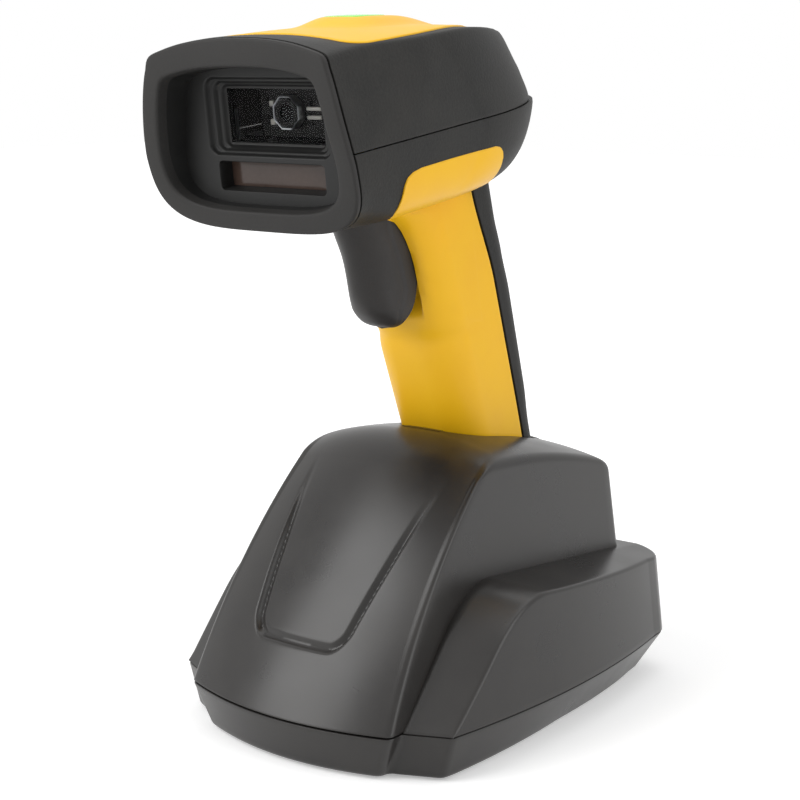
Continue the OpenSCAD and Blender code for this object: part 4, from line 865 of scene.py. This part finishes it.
def section(path):
    """Carries a path of (inset, ds, drop, corner radius) round the nose and rounds its corners."""
    rings = np.stack([nose_ring(inset, ds, drop, TURNS) for inset, ds, drop, _ in path], 1)
    for corner in range(len(path) - 2, 0, -1):
        if path[corner][3]:
            rings = rounded(rings, [corner], path[corner][3], 7)
    return rings.transpose(1, 0, 2)


bezel = section([(2.0, 0.0, 0.0, 0), (0.15, 0.0, 0.0, 0.4), (0.0, -1.9, 0.0, 0.9), (2.2, -1.9, 0.0, 0),
                 (4.0, -1.9, 0.8, 0), (5.7, -1.75, 1.6, 0.9), (6.4, 1.5, 1.6, 0)])
piece("bezel_ring", in_head, [bezel], "scanner", "bezel_rubber", [0, 40, 0], closed=True,
      replaces=["nose_bezel"])

# %% [markdown]
# The hood's lining and the face round the window are one dark moulding. The lining is
# the same ring drawn in further. The face is a height field over (x, h): from the
# window outwards it steps forward three times, and below it lies the slot of the
# trim strip. A signed distance to a rounded rectangle gives every step an even width.

# %% Hood lining and window frame
lining = section([(5.9, 0.6, 1.6, 0), (6.9, 4.0, 1.4, 0), (7.9, 9.5, 0.9, 0)])


def box_distance(x, h, half_w, half_h, mid_h, r):
    """Signed distance to a rounded rectangle: negative inside, zero on its edge."""
    return rounded_distance(np.abs(x) - (half_w - r), np.abs(h - mid_h) - (half_h - r), r)


APERTURE, WINDOW_X, WINDOW_H, SLOT_MID_H = 17.0, 1.5, 7.5, -8.6
FACE_S, WINDOW_LOW, WINDOW_HIGH, REVEAL_DEPTH = 7.2, 0.1, 14.9, 13.2
# Rectangle (half width, half height, middle, radius), then depth, start and width of its wall
FACE_STEPS = (((21.3, 10.0, 7.7, 2.6), 1.4, 0.0, 0.7),
              ((19.2, 8.9, 7.6, 1.9), 1.2, 0.0, 0.7),
              ((APERTURE, 7.4, WINDOW_H, 1.2), 1.2, 0.6, 0.7),
              ((18.9, 3.9, SLOT_MID_H, 1.0), 5.0, -0.5, 0.6))


def face_s(x, h):
    """Depth of the face: three steps round the window and one slot below it."""
    s = FACE_S
    for box, depth, start, width in FACE_STEPS:
        s = s + depth * (1 - soft_ramp((box_distance(x - WINDOW_X, h, *box) - start) / width))
    return s


def spaced(stops, counts):
    """Even spacing between neighbouring stops, each of which is kept once."""
    runs = [np.linspace(a, b, n) for a, b, n in zip(stops, stops[1:], counts)]
    return np.concatenate(runs[:1] + [run[1:] for run in runs[1:]])


LEFT_X, RIGHT_X = WINDOW_X - APERTURE, WINDOW_X + APERTURE
gx = spaced([-30, LEFT_X, RIGHT_X, 30], [60, 90, 60])
gh = spaced([-17.5, -5, WINDOW_LOW, WINDOW_HIGH, 22.8], [56, 26, 40, 40])
fx, fh = np.meshgrid(gx, gh)
face = stacked(fx, face_s(fx, fh), fh)
parts = [face[:81], face[119:], face[80:120, :60], face[80:120, 148:]]
ring_x = np.concatenate([gx[59:148], np.full(39, RIGHT_X), gx[60:149][::-1], np.full(39, LEFT_X)])
ring_h = np.concatenate([np.full(89, WINDOW_LOW), gh[80:119], np.full(89, WINDOW_HIGH), gh[81:120][::-1]])
edge = stacked(ring_x, face_s(ring_x, ring_h), ring_h)
reveal = np.stack([edge, edge * [1, 0, 1] + [0, REVEAL_DEPTH, 0]])
piece("hood_lining", in_head, [lining], "scanner", "inner_black", [0, 5, 0], closed=True, hollow=True)
piece("window_surround", in_head, parts, "scanner", "inner_black", [0, 60, 0],
      replaces=["window_frame"])
piece("window_reveal", in_head, [reveal], "scanner", "inner_black", [0, 12, WINDOW_H], closed=True,
      hollow=True)

# %% [markdown]
# ### What shows in the window
# Behind the pane sit the engine's lamps and the ring round its lens, and below the window
# lies the dark trim strip. Each is a low cushion: a rounded rectangle carried up, drawn in
# over its edge and closed in the middle. The lens ring is an eight-sided section instead.

# %% Lamps, strip and lens ring


def cushion(mid_x, mid_h, half_x, half_h, r, front, back, soft):
    """Rounded rectangle from back to front: straight up, then in by `soft` over a quarter circle."""
    plan = box_outline(half_x, half_h, r, 6)
    turn = np.radians(np.linspace(0, 90, 5))
    share = np.concatenate([[1.0], 1 - soft / half_h * (1 - np.cos(turn)), [0.5, 0.0]])[:, None]
    depth = np.concatenate([[back], front + soft * (1 - np.sin(turn)), [front, front]])[:, None]
    return stacked(mid_x + share * plan[:, 0], depth, mid_h + share * plan[:, 1])


LAMPS = ((8.0, 8.4, 2.6, 0.5), (8.0, 6.0, 2.6, 0.5), (-7.2, 9.7, 0.8, 0.8), (-7.2, 4.6, 0.8, 0.8))
LAMP_R, LAMP_FRONT, LAMP_BACK = 0.3, 19.3, 20.6
for number, outline in enumerate(LAMPS):
    lamp = cushion(*outline, LAMP_R, LAMP_FRONT, LAMP_BACK, 0.2)
    piece("engine_lamp_%d" % number, in_head, [lamp], "scanner", "white_led",
          lamp.mean((0, 1)) + [0, 1, 0], closed=True, replaces=["illumination_leds"])
strip = cushion(WINDOW_X, SLOT_MID_H, 18.6, 3.6, 0.8, 11.4, 12.3, 0.3)
piece("trim_strip", in_head, [strip], "scanner", "dark_strip", [0, 12.3, SLOT_MID_H], closed=True,
      replaces=["lower_trim_strip"])
turn = np.radians(np.arange(0, 360, 5.0))
eight = 1 / np.cos((turn + np.pi / 8) % (np.pi / 4) - np.pi / 8)
r, at = np.array([[4.15, 17.6], [4.2, 16.95], [4.45, 16.85], [4.6, 17.0], [4.6, 19.6]]).T[..., None]
ring = stacked(r * eight * np.cos(turn), at, WINDOW_H + r * eight * np.sin(turn))
piece("lens_ring", in_head, [ring], "scanner", "plated_steel", [0, 30, WINDOW_H], closed=True)

# %% [markdown]
# ## The top cover and its indicator
# The yellow cover lies on the crown and stands 0.5 mm proud of it, with a mound round
# the green indicator. Each ring of the grid is the cover's outline drawn in towards the
# lens's outline, and the height is that of the crown plus the mound.

# %% Top cover
LENS_S, PROUD, FOOT, LENS_PLAY = 49.8, 0.5, -0.6, 0.25
MOUND_S, MOUND_H, MOUND_HALF_W, MOUND_FRONT, MOUND_REAR = 50.0, 2.5, 15.5, 22.0, 40.0


def crown_top(x, s):
    """Height of the head's skin over a point of its plan."""
    w, p = head_shape(s, 29.0)
    skin = HEAD_UP * np.maximum(1e-6, 1 - np.minimum(np.abs(x) / w, 1) ** p) ** (1 / p)
    return soft_min(skin, roof(x, s), crease_k(s))


def mound(x, s):
    """Plateau round the lens that falls off quickly in front and slowly behind."""
    e = np.hypot(x / MOUND_HALF_W, (s - MOUND_S) / np.where(s < MOUND_S, MOUND_FRONT, MOUND_REAR))
    return MOUND_H * (1 - smooth_step(0.45, 1.0, e))


def drawn_in(outline, by):
    """The outline moved by a distance towards its middle."""
    d = outline - middle
    return middle + d * (1 - by / np.linalg.norm(d, axis=-1, keepdims=True))


def on_crown(plan, height):
    """Plan points put on the crown, with the mound and a height over it."""
    x, s = plan[..., 0], plan[..., 1]
    return stacked(x, s, crown_top(x, s) + mound(x, s) + height)


half = np.concatenate([
    [[0.0, 12.0]], corner_arc(25.0, 18, 6, -90, 0, 12),
    [[31.0, 26.0], [30.4, 38.0], [29.2, 48.0], [27.6, 56.0], [25.5, 63.5], [22.6, 71.0]],
    corner_arc(12.9, 75.5, 6.5, 12, 90, 12), [[0.0, 82.0]]])
outer = along(np.concatenate([half, half[1:-1][::-1] * [-1, 1]]), 240, closed=True)
middle = np.array([0.0, LENS_S])
lens_edge = along(box_outline(6.6, 8.9, 4.6, 8) + middle, 720, closed=True)
inner = towards(lens_edge, middle, np.arctan2(outer[:, 1] - LENS_S, outer[:, 0]))
hole = drawn_in(inner, -LENS_PLAY)
share = np.linspace(0, 1, 26)[:, None, None]
sheet = on_crown(drawn_in(outer, 0.9) * (1 - share) + drawn_in(inner, -0.7) * share, PROUD)
cover = np.concatenate([on_crown(outer, FOOT)[None],
                        parabola(on_crown(outer, 0.1), on_crown(outer, PROUD), sheet[0], 6), sheet[1:-1],
                        parabola(sheet[-1], on_crown(hole, PROUD), on_crown(hole, 0.2), 6),
                        on_crown(hole, FOOT)[None]])
piece("cover_sheet", in_head, [cover], "scanner", "yellow_shell", [0, 44, 5], closed=True,
      replaces=["top_cover"])
cap_top = drawn_in(inner, 0.9)
rings = [on_crown(inner, FOOT)[None],
         parabola(on_crown(inner, 0.2), on_crown(inner, 0.6), on_crown(cap_top, 0.65), 6)]
rings += [on_crown(middle + (cap_top - middle) * k, 0.65 + 0.15 * (1 - k * k))[None]
          for k in (0.85, 0.65, 0.45, 0.25, 0.1, 0.0)]
piece("lens_cap", in_head, [np.concatenate(rings)], "scanner", "green_lens", [0, 44, 5], closed=True,
      replaces=["indicator_lens"])

# %% [markdown]
# ## The handle
# The handle is two mouldings that share one outline: the yellow grip in front, and the
# black back cover behind an open seam that runs up the handle. A lip on the cover reaches
# behind the seam, so no light shows through it. A shallow finger groove lies under the
# trigger. Above it the front sinks into a pocket that the trigger's end swings into, and
# from SLOT_ROW up it is left open, beyond SLOT_COLUMN columns from each side.

# %% Grip and back cover
SLOT_HALF, SLOT_COLUMN, SLOT_ROW = 9.3, 28, 70
SEAM_GAP, LIP_INSET, LIP_REACH, SWELL = 0.9, 1.8, 1.5, 0.9
GROOVE_W, GROOVE_WIDTH, GROOVE_DEPTH, GROOVE_SIDE_DEPTH = 87.0, 3.0, 0.7, 0.3
POCKET_HALF, POCKET_DEPTH, SOFT_SHARE = 9.0, 4.3, 0.2


def seam_v(w):
    """The seam bows back by 1.2 mm half-way up the handle, and forward under the head."""
    return grip_d(50.0) - BACK_COVER_D + 1.2 * smooth_step(8, 55, w) - 3.2 * smooth_step(95, 128, w)


def whole_row(side_v, front, w):
    """A side that stands straight from side_v on, the arcs after it, half the middle, and their mirror."""
    right = stacked(grip_w(w), side_v)
    middle = stacked(np.linspace(front[-1, 0], 0, 5)[1:], front[-1, 1])
    half_row = np.concatenate([right, front, middle])
    return stacked(*np.concatenate([half_row, half_row[:-1][::-1] * [-1, 1]]).T, w)


def grip_section(w):
    """One row of the grip: from the seam forward and round the front, with a point at the slot's edge."""
    x, v, r, seam = grip_w(w) - GRIP_FRONT_R, -grip_d(w) + GRIP_FRONT_R, GRIP_FRONT_R, seam_v(w)
    turn = -np.degrees(np.arccos((SLOT_HALF - x) / r))
    front = np.concatenate([corner_arc(x, v, r, 0, turn, 10)[1:], corner_arc(x, v, r, turn, -90, 5)[1:]])
    return whole_row(seam + (v - seam) * np.linspace(0, 1, 20), front, w)


def back_section(w):
    """One row of the back cover, which swells a little for the palm and is set in under the head."""
    swell = smooth_step(42, 56, w) * (1 - smooth_step(88, 102, w)) - smooth_step(102, 114, w)
    x, v, start = grip_w(w) - GRIP_BACK_R, grip_d(w) + SWELL * swell - GRIP_BACK_R, seam_v(w) + SEAM_GAP
    round_back = corner_arc(x, v, GRIP_BACK_R, 0, 90, 14)[1:]
    return whole_row(start + (v - start) * np.linspace(0, 1, 6), round_back, w)


levels = np.linspace(7.35, 141.0, 96)
grip = np.stack([grip_section(w) for w in levels])
x, v, w = grip[..., 0], grip[..., 1], grip[..., 2]
groove = np.exp(-((w - GROOVE_W) / GROOVE_WIDTH) ** 2) * smooth_step(2.0, -16.0, v)
v += GROOVE_DEPTH * groove
x -= np.sign(x) * GROOVE_SIDE_DEPTH * groove
pocket = smooth_step(94.5, 102.5, w) * (np.abs(x) < POCKET_HALF)
pocket = pocket + SOFT_SHARE * smooth_step(98.0, 106.0, w) * smooth_step(12.5, 9.2, np.abs(x))
v += POCKET_DEPTH * pocket * smooth_step(0.0, -8.0, v)
back = np.stack([back_section(w) for w in levels])
print("the trigger's slot starts %.1f mm up the handle" % levels[SLOT_ROW])
grips = [grip[:SLOT_ROW + 1], grip[SLOT_ROW:, :SLOT_COLUMN + 1], grip[SLOT_ROW:, -SLOT_COLUMN - 1:]]
piece("grip_front", in_grip, grips, "scanner", "yellow_shell", [0, 0, 70], wall=1.6, rim=0.3,
      replaces=["grip_shell"])
w = levels[:, None]
lip = stacked(grip_w(w) - LIP_INSET, seam_v(w) + [-LIP_REACH, 0.0, SEAM_GAP, SEAM_GAP + LIP_REACH], w)
piece("grip_back", in_grip, (back, lip, mirrored(lip)), "scanner", "black_shell", [0, 0, 70], wall=1.6,
      rim=0.3, replaces=["grip_back_cover"])

# %% [markdown]
# The grip flares where it takes hold of the head. Seen from the side the flare is a rounded
# patch of yellow on the belly, and a neck that reaches forward on both sides of the
# trigger. Its surface is the wider of two, the head's belly and the neck, joined by
# `soft_max`, so the hollow between them is a real fillet. The grid is stretched between
# four lines of the side view, as a cloth is between four wires.

# %% Flare
# The neck's front edge beside the trigger, in the construction frame
EDGE_Z = np.array([120.0, 123.0, 126.0, 129.0, 133.0, 136.0, 140.0, 144.0, 148.0, 151.0, 153.6, 156.0])
EDGE_Y = np.array([56.8, 55.4, 54.0, 52.6, 50.9, 50.0, 48.7, 47.0, 44.6, 42.2, 39.2, 35.8])
ROWS, COLUMNS, FLARE_PROUD, FLARE_FILLET, FLARE_WALL = 90, 76, 0.35, 5.0, 1.4


def cheek_half(s, h):
    """Half width of the neck: from its front edge a quarter of an ellipse widens to the flank."""
    y, z = turned(s, h, HEAD_PITCH, HEAD_Y, HEAD_Z)
    v, w = turned(y - GRIP_Y, z - GRIP_Z, -GRIP_LEAN, 0.0, 0.0)
    edge = np.interp(z, EDGE_Z, EDGE_Y)
    flank = y + (-grip_d(w) + GRIP_FRONT_R + 2.0 - v) / np.cos(GRIP_LEAN)
    t = np.clip((y - edge) / (flank - edge), 0.0, 1.0)
    widening = (grip_w(w) + 0.02 - SLOT_HALF) * np.sqrt(1 - (1 - t) ** 2)
    return SLOT_HALF + widening - 0.5 * smooth_step(134.0, 122.0, z) * (1 - t)


def flare_half(s, h):
    """The wider of the head's belly, with the ellipse of its tail, and the neck."""
    low = np.minimum(h, -0.1)
    end_s = head_end(low) - TAIL_LEN
    belly = head_half(np.minimum(s, end_s), low) * tail_share(s, end_s)
    return soft_max(belly + FLARE_PROUD, cheek_half(s, h), FLARE_FILLET)


def from_side(y, z):
    """Construction frame to head frame in side view."""
    return stacked(*turned(y - HEAD_Y, z - HEAD_Z, -HEAD_PITCH, 0.0, 0.0))


top_line = np.array([[20.5, -13.5], [21.2, -11.6], [22.6, -9.9], [25.4, -8.8], [29.5, -8.3], [45.0, -8.3],
                     [58.0, -8.5], [67.6, -8.7], [70.2, -9.3], [71.6, -10.6], [72.1, -12.6]])
low_left, low_right = from_side(np.array([55.2, 77.0]), np.array([121.5, 117.0]))
left_line = np.concatenate([
    [[20.5, -13.5], [19.7, -16.9], [19.7, -18.9], [21.0, -20.8], [25.0, -22.1], [31.0, -22.8],
     [38.0, -23.8]],
    from_side(EDGE_Y[-2:0:-1], EDGE_Z[-2:0:-1]), [low_left]])
right_line = np.array([[72.1, -12.6], [72.0, -15.2], [71.2, -17.6], [70.6, -19.6], [71.6, -21.6],
                       [75.2, -23.4], [77.4, -26.0], [78.3, -29.5], [79.4, -34.0], low_right])
t, k = np.linspace(0, 1, COLUMNS)[:, None], np.linspace(0, 1, ROWS)[:, None, None]
top, low = along(top_line, COLUMNS), low_left * (1 - t) + low_right * t
left, right = along(left_line, ROWS)[:, None], along(right_line, ROWS)[:, None]
ruled = top * (1 - k) + low * k
plan = (ruled + (left - ruled[:, :1]) * (1 - t) ** 2 * (1 + 2 * t)
        + (right - ruled[:, -1:]) * t ** 2 * (3 - 2 * t))
tuck = smooth_step(0.93, 1.0, k) + smooth_step(0.9, 1.0, t) * smooth_step(0.45, 0.6, k)
half = flare_half(plan[..., 0], plan[..., 1]) - 0.5 * tuck[..., 0]
flare = stacked(half, plan[..., 0], plan[..., 1])
flare = np.concatenate([flare[:1] - [FLARE_WALL, 0, 0], flare[:1] - [0.25, 0, 0], flare[:1] - [0, 0, 0.3],
                        flare[1:]])
edge = flare[:, :1] * [0, 1, 1] + [SLOT_HALF - 0.02, 0, 0]
flare = np.concatenate([edge + [0, 4.0, 0], edge + [0, 0.4, 0], flare,
                        flare[:, -1:] - [FLARE_WALL, 0, 0]], axis=1)
piece("grip_flare", in_head, [flare, mirrored(flare)], "scanner", "yellow_shell", [0, 58, -15])

# %% [markdown]
# ## The trigger
# The finger piece has a round nose and a hollow front for the finger. Its rows are given
# by the front and back of its side view, and a smooth curve runs through them. A raised
# band 5 mm wide follows the edge beside the neck, as a moulded flange does. Towards the
# lower end, where a row is no deeper than a few millimetres, its steps shrink with it.

# %% Trigger
# Height z, front y, back y, and how much the half width is drawn in
rows = np.array([[121.4, 44.7, 45.6, 6.4], [121.8, 43.2, 45.9, 4.0], [122.8, 41.2, 46.6, 2.2],
                 [124.4, 39.2, 47.6, 1.0], [126.2, 37.2, 48.8, 0.4], [128.2, 35.6, 49.8, 0.1],
                 [130.5, 34.2, 50.6, 0], [133.5, 33.0, 51.2, 0],
                 [137, 32.2, 51.4, 0], [142, 30.8, 50.8, 0], [146, 29.0, 49.4, 0], [150, 26.8, 48.4, 0],
                 [154.6, 24.4, 47.6, 0], [159.5, 22.6, 47.0, 0]])


def smooth_rows(table, n):
    """Catmull-Rom curve through the rows: each point follows from its four neighbours."""
    t = np.linspace(0, len(table) - 1, n)
    i = np.minimum(t.astype(int), len(table) - 2)
    f = (t - i)[:, None]
    p = [table[np.clip(i + k, 0, len(table) - 1)] for k in (-1, 0, 1, 2)]
    return 0.5 * (2 * p[1] + (p[2] - p[0]) * f + (2 * p[0] - 5 * p[1] + 4 * p[2] - p[3]) * f ** 2
                  + (3 * p[1] - p[0] - 3 * p[2] + p[3]) * f ** 3)


TRIGGER_HALF, BAND_WIDTH, BAND_STEP, PIVOT_Y, PIVOT_Z = 9.0, 5.2, 0.5, 44.0, 163.0
z, front, rear, narrowing = smooth_rows(rows, 76).T[..., None]
half_w, depth = TRIGGER_HALF - narrowing, rear - front
thin = np.minimum(1.0, depth / 4.0)
seen_edge = np.minimum(np.interp(z, EDGE_Z, EDGE_Y), rear - 0.6)
band = np.maximum(seen_edge - BAND_WIDTH, front + 0.55 * depth)
nose = np.minimum(np.maximum(0.5 * depth, band - 0.5 - front), band - front)
step_in = np.minimum(BAND_STEP, 0.1 * half_w)
left_x = np.concatenate([-half_w, -half_w, -half_w + 0.15 * step_in], 1)
left_y = np.concatenate([rear - 0.8 * thin, band + 0.9 * thin, band + 0.3 * thin], 1)
a = np.radians(np.linspace(180, 0, 44))
ring_x = np.concatenate([-half_w * 0.6, left_x, (half_w - step_in) * np.cos(a), -left_x[:, ::-1],
                         half_w * 0.6], 1)
ring_y = np.concatenate([rear, left_y, front + nose * (1 - np.sin(a)), left_y[:, ::-1], rear], 1)
trigger = stacked(ring_x, ring_y, z)
under = trigger[0].mean(0)
cap = np.stack([under + (trigger[0] - under) * k - [0, 0, 0.5 * (1 - k)] for k in (0.0, 0.4, 0.8)])
piece("trigger_finger", in_cradle, [np.concatenate([cap, trigger])], "trigger", "trigger_plastic",
      [0, 42, 140], closed=True, replaces=["trigger"])
turn = np.radians(np.arange(0, 360, 15))
x, r = np.array([[-9.0, 1.6], [-9.0, 3.2], [-8.6, 3.6], [8.6, 3.6], [9.0, 3.2], [9.0, 1.6]]).T[..., None]
hub = stacked(x, PIVOT_Y + r * np.cos(turn), PIVOT_Z + r * np.sin(turn))
x, r = np.array([[-8.5, 5.0], [-8.0, 5.6], [8.0, 5.6], [8.5, 5.0]]).T[..., None]
arm = stacked(x, 42.0 + r * [-1, 1, 1, 1, 1, 1, -1, -1], 155.5 + np.array([-5, -5, -3, 0, 3, 5, 5, 0]))
piece("trigger_hub", in_cradle, [hub, arm], "trigger", "trigger_plastic", [0, 44, 160], closed=True)

# %% [markdown]
# ## Finishes of the remaining nodes
# The nodes that keep their CAD shape get a finish by their slot in the record.

# %% Finishes of the CAD nodes
NODES_OF = {
    "black_shell": ["grip_foot_cap"], "gold_contact": ["charge_contacts", "charge_pins"],
    "smoked_window": ["scan_window"], "sheet_steel": ["engine_bracket"], "lens_glass": ["engine_lens"],
    "inner_black": ["engine_body", "lens_barrel", "buzzer", "trigger_switch", "contact_block",
                    "cable_socket"],
    "circuit_board": ["main_board", "trigger_board", "cradle_board"], "cell_sleeve": ["battery_cell"],
    "plated_steel": ["board_screws", "housing_screws", "trigger_pin", "trigger_spring", "ballast_plate",
                     "tray_screws"],
    "white_plastic": ["switch_plunger"], "cradle_shell": ["docking_cup"], "foot_rubber": ["rubber_feet"]}
for slot, nodes in NODES_OF.items():
    for node in nodes:
        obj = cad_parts[node]
        obj.data.materials.clear()
        obj.data.materials.append(FINISH[slot])
print("CAD nodes with a finish:", sum(len(nodes) for nodes in NODES_OF.values()))

# %% [markdown]
# ## Floor, light and background
# A pale floor catches a soft shadow. Large area lamps stand in for a studio's soft boxes:
# a wide one overhead, one on the left and a weaker one on the right. Rays that come
# straight from the camera, or by way of gloss or glass, see a white world; everything else
# sees a mid grey one, so the background is white without more light on the object.

# %% Floor


def seen_directly(owner):
    """A socket that is 1 on rays straight from the camera, or by way of gloss or glass, and 0 on others."""
    rays = add(owner, "ShaderNodeLightPath").outputs
    seen = rays["Is Camera Ray"]
    for kind in ("Is Glossy Ray", "Is Transmission Ray"):
        seen = add(owner, "ShaderNodeMath", {"operation": "MAXIMUM"}, {0: seen, 1: rays[kind]}).outputs[0]
    return seen


line = np.linspace(-3, 3, 13)
floor_mesh = mesh_of("floor", [stacked(line, line[:, None], 0.0)], False, [0, 0, -1], False)
floor = bpy.data.objects.new("floor", floor_mesh)
bpy.context.scene.collection.objects.link(floor)
paper, shader = finish("floor_paper", "white seamless paper, matt", {
    "Roughness": 0.9, "Base Color": linear("#f0f0f0"), "Emission Color": (1.0, 1.0, 1.0, 1.0)})
away = add(paper, "ShaderNodeVectorMath", {"operation": "LENGTH"},
           {0: add(paper, "ShaderNodeTexCoord").outputs["Object"]})
glow = add(paper, "ShaderNodeMapRange", {}, {
    "Value": away.outputs["Value"], "From Min": 0.15, "From Max": 0.8, "To Min": 0.34, "To Max": 0.8})
glow = add(paper, "ShaderNodeMath", {"operation": "MULTIPLY"},
           {0: glow.outputs["Result"], 1: seen_directly(paper)})
paper.node_tree.links.new(glow.outputs[0], shader.inputs["Emission Strength"])
floor.data.materials.append(paper)

# %% World and lamps
world = bpy.data.worlds.new("studio")
world.use_nodes = True
bpy.context.scene.world = world
background = world.node_tree.nodes["Background"]
strength = add(world, "ShaderNodeMapRange", {},
               {"Value": seen_directly(world), "To Min": 0.4, "To Max": 1.0})
world.node_tree.links.new(strength.outputs["Result"], background.inputs["Strength"])
background.inputs["Color"].default_value = (1.0, 1.0, 1.0, 1.0)


def soft_box(name, place_mm, target_mm, size, watts):
    """An area lamp at a place, turned to face a target."""
    data = bpy.data.lights.new(name, "AREA")
    data.shape = "RECTANGLE"
    data.size, data.size_y = size
    data.energy = watts
    lamp = bpy.data.objects.new(name, data)
    bpy.context.scene.collection.objects.link(lamp)
    lamp.location = in_cradle(place_mm)
    aim = Vector(in_cradle(target_mm) - in_cradle(place_mm))
    lamp.rotation_euler = aim.to_track_quat("-Z", "Y").to_euler()


soft_box("overhead", [0, 150, 950], [0, 60, 80], (0.9, 0.9), 2.9)
soft_box("left", [-420, -700, 620], [0, 60, 100], (0.6, 0.9), 7.5)
soft_box("right", [800, 100, 350], [0, 60, 100], (0.5, 0.9), 2.9)
bpy.context.scene.view_settings.view_transform = "Standard"
